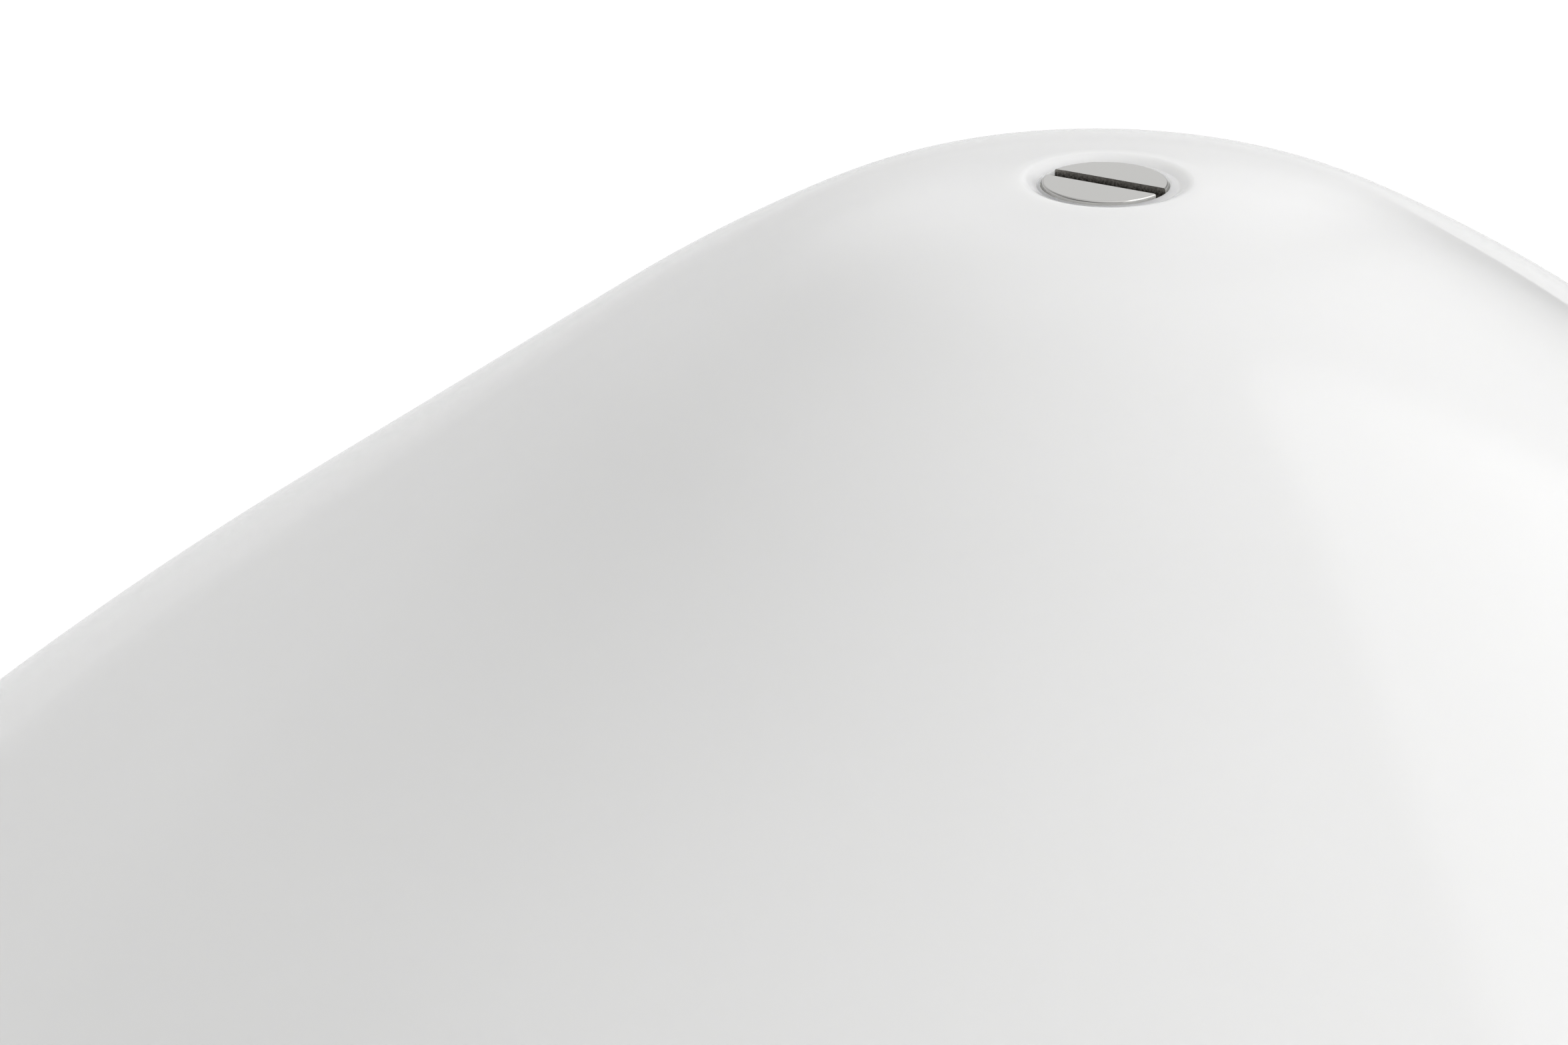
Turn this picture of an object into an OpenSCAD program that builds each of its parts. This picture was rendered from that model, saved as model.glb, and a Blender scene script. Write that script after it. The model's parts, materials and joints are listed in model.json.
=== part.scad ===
// Table lamp with a bell-shaped opal shade. One slotted screw in the middle of the crown
// holds the shade on a central stem, with three small-cap bulbs under it and a weighted base.
// Millimetres, +Z up, origin on the table under the middle of the base.

/* [Lamp] */
// Height of the crown of the shade above the table
lamp_h = 500; // [470:5:560]
// Distance of each bulb from the stem's axis
lamp_ring_r = 65; // [60:1:70]

/* [Shade] */
// Wall thickness of the acrylic
shade_wall = 3; // [2.5:0.1:4]
// Length of the straight flank, along the slope
flank_len = 82; // [60:1:90]
// Length of the straight skirt above the rim
skirt_len = 8; // [4:1:20]

/* [Retaining screw] */
// Diameter of the slotted head
head_d = 20; // [18:0.5:21]
// Thickness of the head
head_t = 2.6; // [2.2:0.1:3]
// Width of the coin slot
slot_w = 3.2; // [2:0.1:3.5]
// Depth of the coin slot
slot_depth = 1.3; // [0.8:0.1:1.6]
// Direction of the slot from +X, in degrees
slot_turn = -27.5; // [-90:0.5:90]

/* [Stem] */
// Outer diameter of the stem tube
stem_d = 22; // [20:1:25]
// Wall thickness of the stem tube
stem_wall = 1.5; // [1:0.1:2]

/* [Base] */
// Height of the base shell
base_h = 28; // [26:1:32]
// Radius of the flat top of the base
base_flat_r = 98; // [95:1:110]
// Radius of the rounding of the base's edge
base_round = 20; // [16:1:22]

/* [Hidden] */
$fn = 96;

// --- Shade outline: a chain of tangent arcs, each [slope at its end in degrees, radius] ---
crown_arcs = [[14.5, 152], [22.7, 64], [28.2, 82], [32.5, 340], [35.5, 240]];
shoulder_arcs = [[39.8, 900], [60, 120], [86, 72]];
arc_step = 2;        // degrees of slope between outline points
dimple_rim_r = head_d / 2 + 4.3; // where the crown turns down into the dimple
dimple_round = 2.9;              // rounding of the dimple's lip
dimple_slope = 30;               // steepness of the dimple's side
ledge_r = head_d / 2 + 1.3;      // flat ledge round the head
ledge_depth = 0.5;               // the ledge is this far under the head's face
well_r = head_d / 2 + 0.3;       // well that the head sinks into
dimple_corner = 0.5;
shade_hole_r = 4.4;
boss_r = dimple_rim_r + 1.5;     // underside of the dimple
boss_blend_r = dimple_rim_r + 4;
boss_blend_h = 2.6;
crown_start = asin(dimple_rim_r / crown_arcs[0][1]);

// --- Retaining screw and the seat under the shade ---
screw_r = 4;
screw_clear = 0.05;
head_drop = 1.2;     // the head's face is this far under the crown's highest point
washer_t = 0.4;
washer_r = 9;
face_z = lamp_h - head_drop;
floor_z = face_z - head_t - washer_t;
boss_z = floor_z - shade_wall;
gasket_t = 1.5;
gasket_r = 13.5;
seat_z = boss_z - gasket_t;
seat_t = 4;
seat_r = 18;
seat_plug_len = 16;
thread_engaged = 11.3;
shank_end_z = seat_z - thread_engaged;

// --- Stem ---
stem_r = stem_d / 2;
stem_bore_r = stem_r - stem_wall;
collar_h = 8;
collar_r = 20;
stem_foot_z = base_h + collar_h;
stem_top_z = seat_z - seat_t;
plug_len = 24;
nipple_r = 5;
nipple_bore_r = 3.5;
nipple_foot_z = 13.2;
fit_gap = 0.03;      // radial gap between fixed round parts

// --- Lamps ---
lamp_count = 3;
plate_z = lamp_h - 172;   // underside of the plate that carries the lampholders
plate_t = 2;
plate_lobe_r = 17;
plate_hub_r = 28;
plate_collar_h = 14;
plate_collar_r = 17;
holder_z = plate_z + plate_t;
holder_nipple_r = 5;
holder_nipple_len = 16;
holder_nipple_drop = 6;   // length of it under the plate
holder_base_h = 17;
holder_base_r = 13.5;
sleeve_h = 27;
sleeve_r = 12.8;
sleeve_bore_r = 9;
thread_shell_r = 8;
thread_shell_bore_r = 7.05;
holder_boss_h = 2;
cap_z = holder_z + holder_base_h + 6;
cap_r = 6.95;
cap_h = 20;
bulb_r = 22.5;
bulb_neck_r = 6.6;
bulb_wall = 0.8;
bulb_tip_h = 1.6;
bulb_centre_z = cap_z + 47;

// --- Leads ---
lead_r = 2.4;
lead_hole_r = 3.2;   // in the stem's wall
lead_bend = 10;
lead_z = plate_z - 18;
lead_drop_r = 5;     // inner bend, into the splice
lead_drop_x = 4;     // distance of the leads from the stem's axis there
lead_end = 2;        // straight end of each lead
cable_r = 2.5;
splice_r = stem_bore_r - 1.1;
splice_len = 26;
splice_top_z = lead_z - lead_drop_r - lead_end;

// --- Base ---
shell_t = 1.5;
shell_foot_z = 2;
base_draft = 86;     // slope of the base's skirt in degrees
pad_t = 3;
pad_r = base_flat_r + 7;
pad_bore_r = 75;
plate_r = base_flat_r + base_round - 4;
base_plate_t = 2;
weight_z = pad_t + base_plate_t;
weight_r = base_flat_r + 2;
weight_h = 16;
weight_boss_r = 25;
pocket_r = 16;
pocket_top_z = 19;
channel_w = 38;      // wiring channel, from the middle to the back
channel_start_y = 10;
nut_t = 4.5;
lock_washer_t = 1;
base_screw_ring_r = 85;
base_screw_r = 2.5;
base_screw_turns = [30, 150, 270];
base_screw_len = 12;
base_screw_head_r = 4.6;
base_screw_head_t = 2.4;
base_screw_slot = [5.2, 1, 1.3];

// --- Cord inlet at the back ---
grommet_z = 12;
grommet_bore_r = 3.6;
grommet_neck_r = 5;
grommet_flange_r = 6.6;
grommet_in_y = base_flat_r + base_round - 5;
grommet_len = 9;
grommet_flange_t = 2.5;

// --- Terminal block in the wiring channel ---
terminal_y = 38;
terminal_size = [30, 18, 12];
terminal_z = pocket_top_z - terminal_size[2];
terminal_pitch = 9;

// --- Push switch in the base's top, at the front right ---
switch_at = [52, -52];
button_r = 7.5;
button_top_z = base_h + 5.5;
button_foot_z = 20;
button_clear = 0.1;
bezel_r = 11.5;
bezel_t = 2;
barrel_r = 9;
barrel_foot_z = 14;
switch_body_r = 10;
switch_body_foot_z = 7;
switch_nut_r = 13;
switch_nut_t = 3;
switch_hole_r = 15;
spring_r = 5.2;
spring_wire_r = 0.45;
spring_turns = 4;
switch_lead_r = 1.8;
switch_lead_z = 8;

// ---------- Outline helpers ----------

// Point at distance t inside an outline point p whose slope is s
function inside(p, s, t) = [p[0] - t * sin(s), p[1] - t * cos(s)];

// Points along a chain of tangent arcs that starts at p with slope s, moved inwards by t
function chain(arcs, p, s, t, i = 0) =
    i == len(arcs) ? [] :
    let (
        end_slope = arcs[i][0],
        radius = arcs[i][1],
        centre = inside(p, s, radius),
        steps = max(2, ceil((end_slope - s) / arc_step)),
        next = inside(centre, end_slope, -radius)
    )
    concat(
        [for (k = [1:steps]) inside(centre, s + (end_slope - s) * k / steps, t - radius)],
        chain(arcs, next, end_slope, t, i + 1)
    );

// Where such a chain ends
function chain_end(arcs, p, s, i = 0) =
    i == len(arcs) ? p :
    chain_end(arcs, inside(inside(p, s, arcs[i][1]), arcs[i][0], -arcs[i][1]), arcs[i][0], i + 1);

// Point further along a straight run of slope s
function run(p, s, distance) = [p[0] + distance * cos(s), p[1] - distance * sin(s)];

// Points of a round corner about c, from angle a0 to a1
function corner(c, radius, a0, a1, steps = 6) =
    [for (k = [0:steps]) let (a = a0 + (a1 - a0) * k / steps) [c[0] + radius * cos(a), c[1] + radius * sin(a)]];

// Outline of the bell, from the dimple's lip to the rim, moved inwards by t
function bell(t) =
    let (
        start = [dimple_rim_r, lamp_h - crown_arcs[0][1] * (1 - cos(crown_start))],
        flank_slope = crown_arcs[len(crown_arcs) - 1][0],
        flank_start = chain_end(crown_arcs, start, crown_start),
        flank_end = run(flank_start, flank_slope, flank_len),
        skirt_slope = shoulder_arcs[len(shoulder_arcs) - 1][0],
        skirt_start = chain_end(shoulder_arcs, flank_end, flank_slope),
        rim = run(skirt_start, skirt_slope, skirt_len)
    )
    concat(
        [inside(start, crown_start, t)],
        chain(crown_arcs, start, crown_start, t),
        [inside(flank_end, flank_slope, t)],
        chain(shoulder_arcs, flank_end, flank_slope, t),
        [inside(rim, skirt_slope, t)]
    );

function reversed(list) = [for (i = [len(list) - 1:-1:0]) list[i]];

// Points of a helix about Z
function helix(radius, z0, z1, turns, per_turn = 16) =
    [for (i = [0:turns * per_turn]) let (a = 360 * i / per_turn)
        [radius * cos(a), radius * sin(a), z0 + (z1 - z0) * i / (turns * per_turn)]];

function unit(v) = v / norm(v);

// ---------- Shape helpers ----------

// A round tube along a path. flat is a direction that no part of the path runs along.
module tube_along(path, r, flat, sides = 10) {
    last = len(path) - 1;
    rings = [for (i = [0:last])
        let (
            forward = unit(path[min(i + 1, last)] - path[max(i - 1, 0)]),
            across = unit(cross(forward, flat)),
            up = cross(across, forward)
        )
        for (k = [0:sides - 1])
            path[i] + r * (cos(360 * k / sides) * across + sin(360 * k / sides) * up)];
    sides_faces = [for (i = [0:last - 1], k = [0:sides - 1])
        let (n = (k + 1) % sides)
        [i * sides + k, i * sides + n, (i + 1) * sides + n, (i + 1) * sides + k]];
    ends = [
        [for (k = [sides - 1:-1:0]) k],
        [for (k = [0:sides - 1]) last * sides + k]
    ];
    polyhedron(concat(rings, []), concat(sides_faces, ends), convexity = 4);
}

module ring(r_out, r_in, h) {
    difference() {
        cylinder(r = r_out, h = h);
        translate([0, 0, -1]) cylinder(r = r_in, h = h + 2);
    }
}

module hex_nut(across_flats, r_in, h) {
    difference() {
        cylinder(d = across_flats / cos(30), h = h, $fn = 6);
        translate([0, 0, -1]) cylinder(r = r_in, h = h + 2);
    }
}

// Copies its child at each lamp's place, turned to face outwards along +X
module at_lamp(k) {
    rotate([0, 0, 90 + 360 * (k - 1) / lamp_count]) translate([lamp_ring_r, 0, 0]) children();
}

module at_lamps() {
    for (k = [1:lamp_count]) at_lamp(k) children();
}

// ---------- Shade and its screw ----------

module shade() {
    lip_z = lamp_h - crown_arcs[0][1] * (1 - cos(crown_start));
    dimple = concat(
        [[shade_hole_r, floor_z]],
        corner([well_r - dimple_corner, floor_z + dimple_corner], dimple_corner, -90, 0, 4),
        [[well_r, face_z - ledge_depth]],
        corner([ledge_r, face_z - ledge_depth + dimple_corner], dimple_corner, -90, dimple_slope - 90, 3),
        corner(inside([dimple_rim_r, lip_z], crown_start, dimple_round), dimple_round, 90 + dimple_slope, 96, 6)
    );
    underside = [[boss_blend_r, boss_z + boss_blend_h], [boss_r, boss_z], [shade_hole_r, boss_z]];
    inner = [for (p = reversed(bell(shade_wall))) if (p[0] > boss_blend_r + 1) p];
    color([0.95, 0.95, 0.94])
        rotate_extrude() polygon(concat(dimple, bell(0), inner, underside));
}

module head_washer() {
    color([0.85, 0.87, 0.88]) translate([0, 0, floor_z])
        ring(washer_r, screw_r + screw_clear, washer_t);
}

module retaining_screw() {
    bevel = 0.2;
    color("silver") difference() {
        union() {
            rotate_extrude() polygon([
                [0, face_z - head_t], [head_d / 2 - bevel, face_z - head_t],
                [head_d / 2, face_z - head_t + bevel], [head_d / 2, face_z - bevel],
                [head_d / 2 - bevel, face_z], [0, face_z]
            ]);
            translate([0, 0, shank_end_z]) cylinder(r = screw_r, h = face_z - head_t - shank_end_z + 0.4);
        }
        rotate([0, 0, slot_turn])
            translate([-head_d, -slot_w / 2, face_z - slot_depth]) cube([2 * head_d, slot_w, slot_depth + 1]);
    }
}

module seat_gasket() {
    color([0.2, 0.2, 0.2]) translate([0, 0, seat_z]) ring(gasket_r, screw_r + 0.6, gasket_t);
}

module shade_seat() {
    color("silver") difference() {
        union() {
            translate([0, 0, seat_z - seat_t]) cylinder(r = seat_r, h = seat_t);
            translate([0, 0, seat_z - seat_t - seat_plug_len])
                cylinder(r = stem_bore_r - fit_gap, h = seat_plug_len + 1);
        }
        translate([0, 0, seat_z - seat_t - seat_plug_len - 1])
            cylinder(r = screw_r + screw_clear, h = seat_t + seat_plug_len + 2);
    }
}

// ---------- Stem ----------

module stem_tube() {
    color("silver") difference() {
        translate([0, 0, stem_foot_z]) ring(stem_r, stem_bore_r, stem_top_z - stem_foot_z);
        for (k = [1:lamp_count]) rotate([0, 0, 90 + 360 * (k - 1) / lamp_count])
            translate([stem_bore_r - 2, 0, lead_z]) rotate([0, 90, 0]) cylinder(r = lead_hole_r, h = 6);
    }
}

module stem_plug() {
    color("lightgrey") translate([0, 0, stem_foot_z]) ring(stem_bore_r - fit_gap, nipple_r + fit_gap, plug_len);
}

module stem_nipple() {
    color("lightgrey") translate([0, 0, nipple_foot_z])
        ring(nipple_r, nipple_bore_r, stem_foot_z + plug_len - nipple_foot_z);
}

module stem_collar() {
    throat = stem_r + 1.5;
    sweep_r = 5;
    color("silver") translate([0, 0, base_h]) rotate_extrude() polygon(concat(
        [[nipple_r + fit_gap, 0], [collar_r, 0], [collar_r, 1.6]],
        corner([collar_r - 0.6, 1.6], 0.6, 0, 90, 3),
        corner([throat + sweep_r, 2.2 + sweep_r], sweep_r, 270, 186, 8),
        [[throat, collar_h], [nipple_r + fit_gap, collar_h]]
    ));
}

// ---------- Lampholders ----------

module holder_plate() {
    color("white") difference() {
        union() {
            translate([0, 0, plate_z]) cylinder(r = plate_hub_r, h = plate_t);
            at_lamps() translate([0, 0, plate_z]) cylinder(r = plate_lobe_r, h = plate_t);
            for (k = [1:lamp_count]) rotate([0, 0, 90 + 360 * (k - 1) / lamp_count])
                translate([10, -plate_lobe_r + 3, plate_z]) cube([lamp_ring_r - 10, 2 * plate_lobe_r - 6, plate_t]);
        }
        translate([0, 0, plate_z - 1]) cylinder(r = stem_r + 0.1, h = plate_t + 2);
        at_lamps() translate([0, 0, plate_z - 1]) cylinder(r = holder_nipple_r + 0.1, h = plate_t + 2);
    }
}

module plate_collar() {
    color("silver") difference() {
        translate([0, 0, plate_z - plate_collar_h]) ring(plate_collar_r, stem_r + fit_gap, plate_collar_h);
        rotate([0, 0, 30]) translate([0, 0, plate_z - plate_collar_h / 2])
            rotate([0, 90, 0]) cylinder(r = 2 + fit_gap, h = plate_collar_r + 1);
    }
}

module collar_screw() {
    color("dimgrey") rotate([0, 0, 30]) translate([stem_r + 0.05, 0, plate_z - plate_collar_h / 2])
        rotate([0, 90, 0]) difference() {
            cylinder(r = 2, h = plate_collar_r - stem_r);
            translate([0, 0, plate_collar_r - stem_r - 2]) cylinder(d = 2.3, h = 3, $fn = 6);
        }
}

module holder_nipples() {
    color("gold") at_lamps() translate([0, 0, plate_z - holder_nipple_drop])
        ring(holder_nipple_r, lead_r + 0.6, holder_nipple_len);
}

module nipple_nuts() {
    color("gold") at_lamps() translate([0, 0, plate_z - 3]) hex_nut(14, holder_nipple_r + fit_gap, 3);
}

module holder_base(k) {
    color([0.9, 0.9, 0.88]) at_lamp(k) translate([0, 0, holder_z]) difference() {
        rotate_extrude() polygon(concat(
            [[0, 0], [holder_base_r - 2, 0]],
            corner([holder_base_r - 2, 2], 2, -90, 0, 4),
            [[holder_base_r, holder_base_h], [sleeve_bore_r - 0.6, holder_base_h],
             [sleeve_bore_r - 0.6, holder_base_h + holder_boss_h], [0, holder_base_h + holder_boss_h]]
        ));
        translate([0, 0, -1]) cylinder(r = holder_nipple_r + fit_gap, h = holder_nipple_len - holder_nipple_drop);
        translate([0, 0, -1]) cylinder(r = lead_r + 0.6, h = holder_base_h - 1);
    }
}

module holder_sleeve(k) {
    rib_count = 12;
    color([0.9, 0.9, 0.88]) at_lamp(k) translate([0, 0, holder_z + holder_base_h]) difference() {
        rotate_extrude() polygon(concat(
            [[sleeve_bore_r, 0], [sleeve_r, 0], [sleeve_r, sleeve_h - 1]],
            corner([sleeve_r - 1, sleeve_h - 1], 1, 0, 90, 4),
            [[sleeve_bore_r, sleeve_h]]
        ));
        for (i = [0:rib_count - 1]) rotate([0, 0, 360 * i / rib_count])
            translate([sleeve_r + 0.6, 0, 2]) cylinder(r = 1.1, h = 16);
    }
}

module holder_thread(k) {
    foot = holder_z + holder_base_h + holder_boss_h;
    color("gold") at_lamp(k) translate([0, 0, foot])
        ring(thread_shell_r, thread_shell_bore_r, cap_z + cap_h - foot);
}

module holder_contact(k) {
    foot = holder_z + holder_base_h + holder_boss_h;
    color("gold") at_lamp(k) translate([0, 0, foot]) {
        translate([-2, -5, 0]) cube([4, 10, 0.8]);
        cylinder(r = 2, h = cap_z - bulb_tip_h - foot);
    }
}

// ---------- Bulbs ----------

// Outline of the glass, from the neck to the top of the ball
function ball_outline(radius, neck) =
    let (start = -acos(neck / radius))
    concat([[neck, cap_z + 2]], corner([0, bulb_centre_z], radius, start, 90, 24));

module bulb_glass(k) {
    color([1, 1, 1, 0.6]) at_lamp(k) rotate_extrude() polygon(concat(
        ball_outline(bulb_r, bulb_neck_r),
        reversed(ball_outline(bulb_r - bulb_wall, bulb_neck_r - bulb_wall))
    ));
}

module bulb_cap(k) {
    skirt = 0.25;
    color("silver") at_lamp(k) rotate_extrude() polygon([
        [3, cap_z], [cap_r - 1, cap_z], [cap_r, cap_z + 2], [cap_r, cap_z + cap_h],
        [bulb_neck_r + fit_gap, cap_z + cap_h], [bulb_neck_r + fit_gap, cap_z + 2 - skirt], [3, cap_z + 2 - skirt]
    ]);
}

module bulb_tip(k) {
    color("dimgrey") at_lamp(k) translate([0, 0, cap_z - bulb_tip_h]) rotate_extrude() polygon([
        [0, 0], [1.6, 0], [2.4, bulb_tip_h / 2], [4.2, bulb_tip_h], [0, bulb_tip_h]
    ]);
}

// ---------- Wiring in the head and the stem ----------

// From the lampholder down its nipple, round to the stem, and down again inside it
function lead_path() = concat(
    [[lamp_ring_r, 0, plate_z + 12]],
    [for (a = [0:15:90])
        [lamp_ring_r - lead_bend * (1 - cos(a)), 0, lead_z + lead_bend - lead_bend * sin(a)]],
    [for (a = [0:22.5:90])
        [lead_drop_x + lead_drop_r * (1 - sin(a)), 0, lead_z - lead_drop_r * (1 - cos(a))]],
    [[lead_drop_x, 0, splice_top_z]]
);

module holder_leads() {
    color([0.92, 0.92, 0.92]) for (k = [1:lamp_count]) rotate([0, 0, 90 + 360 * (k - 1) / lamp_count])
        tube_along(lead_path(), lead_r, [0, 1, 0]);
}

module lead_grommets() {
    color([0.15, 0.15, 0.15]) for (k = [1:lamp_count]) rotate([0, 0, 90 + 360 * (k - 1) / lamp_count])
        translate([stem_r + 0.02, 0, lead_z]) rotate([0, 90, 0]) rotate_extrude() polygon([
            [lead_r + 0.05, -1.9], [lead_hole_r - 0.05, -1.9], [lead_hole_r - 0.05, 0],
            [lead_hole_r + 0.8, 0], [lead_hole_r + 0.8, 1.4], [lead_r + 0.05, 1.4]
        ]);
}

module splice_cap() {
    color([0.9, 0.85, 0.7]) translate([0, 0, splice_top_z - splice_len]) cylinder(r = splice_r, h = splice_len);
}

// From the splice down through the nipple, then back along the base to the terminal block
function cable_path() = concat(
    [[0, 0, splice_top_z - splice_len], [0, 0, 60]],
    [for (a = [0:15:90]) [0, 5 - 5 * cos(a), 13 - 5 * sin(a)]],
    [[0, 22, 8], [0, 30, 10], [0, terminal_y, 10]]
);

module stem_cable() {
    color([0.85, 0.85, 0.85]) tube_along(cable_path(), cable_r, [1, 0, 0]);
}

// ---------- Base ----------

// Outline of the base shell from the middle to its foot, moved inwards by t
function base_outline(t) =
    let (
        arcs = [[base_draft, base_round]],
        edge = [base_flat_r, base_h],
        skirt = chain_end(arcs, edge, 0),
        drop = (skirt[1] - shell_foot_z) / sin(base_draft)
    )
    concat(
        [inside([nipple_r + 0.2, base_h], 0, t), inside(edge, 0, t)],
        chain(arcs, edge, 0, t),
        [inside(run(skirt, base_draft, drop), base_draft, t)]
    );

module base_shell() {
    color("white") difference() {
        rotate_extrude() polygon(concat(base_outline(0), reversed(base_outline(shell_t))));
        translate([switch_at[0], switch_at[1], base_h - 5]) cylinder(r = barrel_r + 0.1, h = 10);
        translate([0, base_flat_r, grommet_z]) rotate([-90, 0, 0])
            cylinder(r = grommet_neck_r + 0.05, h = base_round + 10);
    }
}

module base_weight() {
    boss_h = base_h - shell_t - weight_z;
    color("dimgrey") difference() {
        union() {
            translate([0, 0, weight_z]) cylinder(r = weight_r, h = weight_h);
            translate([0, 0, weight_z]) cylinder(r = weight_boss_r, h = boss_h);
        }
        translate([0, 0, weight_z - 1]) cylinder(r = nipple_r + 0.2, h = boss_h + 2);
        translate([0, 0, weight_z - 1]) cylinder(r = pocket_r, h = pocket_top_z - weight_z + 1);
        translate([-channel_w / 2, channel_start_y, weight_z - 1])
            cube([channel_w, weight_r, pocket_top_z - weight_z + 1]);
        translate([switch_at[0], switch_at[1], weight_z - 1]) cylinder(r = switch_hole_r, h = weight_h + 2);
        rotate([0, 0, -45]) translate([0, -4, weight_z - 1]) cube([norm(switch_at), 8, 8]);
        for (a = base_screw_turns) rotate([0, 0, a]) translate([base_screw_ring_r, 0, weight_z - 1])
            cylinder(r = base_screw_r + fit_gap, h = base_screw_len);
    }
}

module base_plate() {
    color("dimgrey") difference() {
        translate([0, 0, pad_t]) cylinder(r = plate_r, h = base_plate_t);
        for (a = base_screw_turns) rotate([0, 0, a]) translate([base_screw_ring_r, 0, pad_t - 1])
            cylinder(r = base_screw_r + 0.3, h = base_plate_t + 2);
    }
}

module base_screws() {
    color("silver") for (a = base_screw_turns) rotate([0, 0, a]) translate([base_screw_ring_r, 0, 0])
        difference() {
            union() {
                translate([0, 0, pad_t - base_screw_head_t]) cylinder(r = base_screw_head_r, h = base_screw_head_t);
                translate([0, 0, pad_t - 0.5]) cylinder(r = base_screw_r, h = base_screw_len);
            }
            for (t = [0, 90]) rotate([0, 0, t])
                translate([-base_screw_slot[0] / 2, -base_screw_slot[1] / 2, pad_t - base_screw_head_t - 1])
                    cube([base_screw_slot[0], base_screw_slot[1], base_screw_slot[2] + 1]);
        }
}

module foot_pad() {
    color([0.25, 0.25, 0.25]) difference() {
        ring(pad_r, pad_bore_r, pad_t);
        for (a = base_screw_turns) rotate([0, 0, a]) translate([base_screw_ring_r, 0, -1])
            cylinder(r = base_screw_head_r + 0.6, h = pad_t + 2);
    }
}

module clamp_nut() {
    color("gold") translate([0, 0, pocket_top_z - lock_washer_t - nut_t]) hex_nut(17, nipple_r + fit_gap, nut_t);
}

module lock_washer() {
    color("silver") translate([0, 0, pocket_top_z - lock_washer_t]) ring(9.5, nipple_r + 0.2, lock_washer_t);
}

module cord_grommet() {
    color([0.15, 0.15, 0.15]) translate([0, grommet_in_y, grommet_z]) rotate([-90, 0, 0]) rotate_extrude() polygon([
        [grommet_bore_r, 0], [grommet_flange_r, 0], [grommet_flange_r, grommet_flange_t],
        [grommet_neck_r, grommet_flange_t], [grommet_neck_r, grommet_len - grommet_flange_t],
        [grommet_flange_r, grommet_len - grommet_flange_t], [grommet_flange_r, grommet_len - 1],
        [grommet_flange_r - 1, grommet_len], [grommet_bore_r, grommet_len]
    ]);
}

module terminal_block() {
    size = terminal_size;
    color([0.93, 0.93, 0.9]) difference() {
        translate([-size[0] / 2, terminal_y, terminal_z]) cube(size);
        for (i = [-1:1]) translate([i * terminal_pitch, terminal_y + size[1] / 2, terminal_z - 1])
            cylinder(r = 2.2 + fit_gap, h = size[2] - 3);
    }
}

module terminal_screws() {
    color("gold") for (i = [-1:1])
        translate([i * terminal_pitch, terminal_y + terminal_size[1] / 2, terminal_z + 0.6]) difference() {
            cylinder(r = 2.2, h = terminal_size[2] - 5);
            translate([-3, -0.4, -1]) cube([6, 0.8, 1.8]);
        }
}

// ---------- Push switch ----------

module at_switch() {
    translate([switch_at[0], switch_at[1], 0]) children();
}

module switch_bezel() {
    lip_r = button_r + button_clear;
    color("silver") at_switch() rotate_extrude() polygon([
        [lip_r, barrel_foot_z], [barrel_r, barrel_foot_z], [barrel_r, base_h], [bezel_r, base_h],
        [bezel_r, base_h + bezel_t - 0.8], [bezel_r - 0.8, base_h + bezel_t], [lip_r, base_h + bezel_t]
    ]);
}

module switch_nut() {
    color("silver") at_switch() translate([0, 0, base_h - shell_t - switch_nut_t])
        ring(switch_nut_r, barrel_r + fit_gap, switch_nut_t);
}

module switch_body() {
    color([0.15, 0.15, 0.15]) at_switch() translate([0, 0, switch_body_foot_z])
        cylinder(r = switch_body_r, h = barrel_foot_z - switch_body_foot_z);
}

module switch_button() {
    crown = 40;
    dip = crown - sqrt(crown * crown - button_r * button_r);
    color("silver") at_switch() rotate_extrude() polygon(concat(
        [[0, button_foot_z], [button_r, button_foot_z], [button_r, button_top_z - dip - 0.6],
         [button_r - 0.6, button_top_z - dip]],
        [for (k = [5:-1:0]) let (x = (button_r - 1) * k / 6) [x, button_top_z - crown + sqrt(crown * crown - x * x)]]
    ));
}

module switch_spring() {
    color("grey") at_switch() tube_along(
        helix(spring_r, barrel_foot_z + spring_wire_r + 0.02, button_foot_z - spring_wire_r - 0.02, spring_turns),
        spring_wire_r, [0, 0, 1], 6);
}

// From the switch body along its groove to the middle, then back to the terminal block
function switch_lead_path() =
    let (edge = (norm(switch_at) - switch_body_r) / sqrt(2))
    [[edge, -edge, switch_lead_z], [16, -16, switch_lead_z], [11, -9, switch_lead_z], [9.5, 0, switch_lead_z],
     [9, 12, switch_lead_z], [9, terminal_y, switch_lead_z]];

module switch_lead() {
    color([0.85, 0.85, 0.85]) tube_along(switch_lead_path(), switch_lead_r, [0, 0, 1]);
}

// ---------- Nodes ----------

shade();
head_washer();
retaining_screw();
seat_gasket();
shade_seat();
stem_tube();
stem_plug();
stem_nipple();
stem_collar();
holder_plate();
plate_collar();
collar_screw();
holder_nipples();
nipple_nuts();
holder_base(1);  // holder_base_1
holder_sleeve(1);  // holder_sleeve_1
holder_thread(1);  // holder_thread_1
holder_contact(1);  // holder_contact_1
bulb_glass(1);  // bulb_glass_1
bulb_cap(1);  // bulb_cap_1
bulb_tip(1);  // bulb_tip_1
holder_base(2);  // holder_base_2
holder_sleeve(2);  // holder_sleeve_2
holder_thread(2);  // holder_thread_2
holder_contact(2);  // holder_contact_2
bulb_glass(2);  // bulb_glass_2
bulb_cap(2);  // bulb_cap_2
bulb_tip(2);  // bulb_tip_2
holder_base(3);  // holder_base_3
holder_sleeve(3);  // holder_sleeve_3
holder_thread(3);  // holder_thread_3
holder_contact(3);  // holder_contact_3
bulb_glass(3);  // bulb_glass_3
bulb_cap(3);  // bulb_cap_3
bulb_tip(3);  // bulb_tip_3
holder_leads();
lead_grommets();
splice_cap();
stem_cable();
base_shell();
base_weight();
base_plate();
base_screws();
foot_pad();
clamp_nut();
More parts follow.
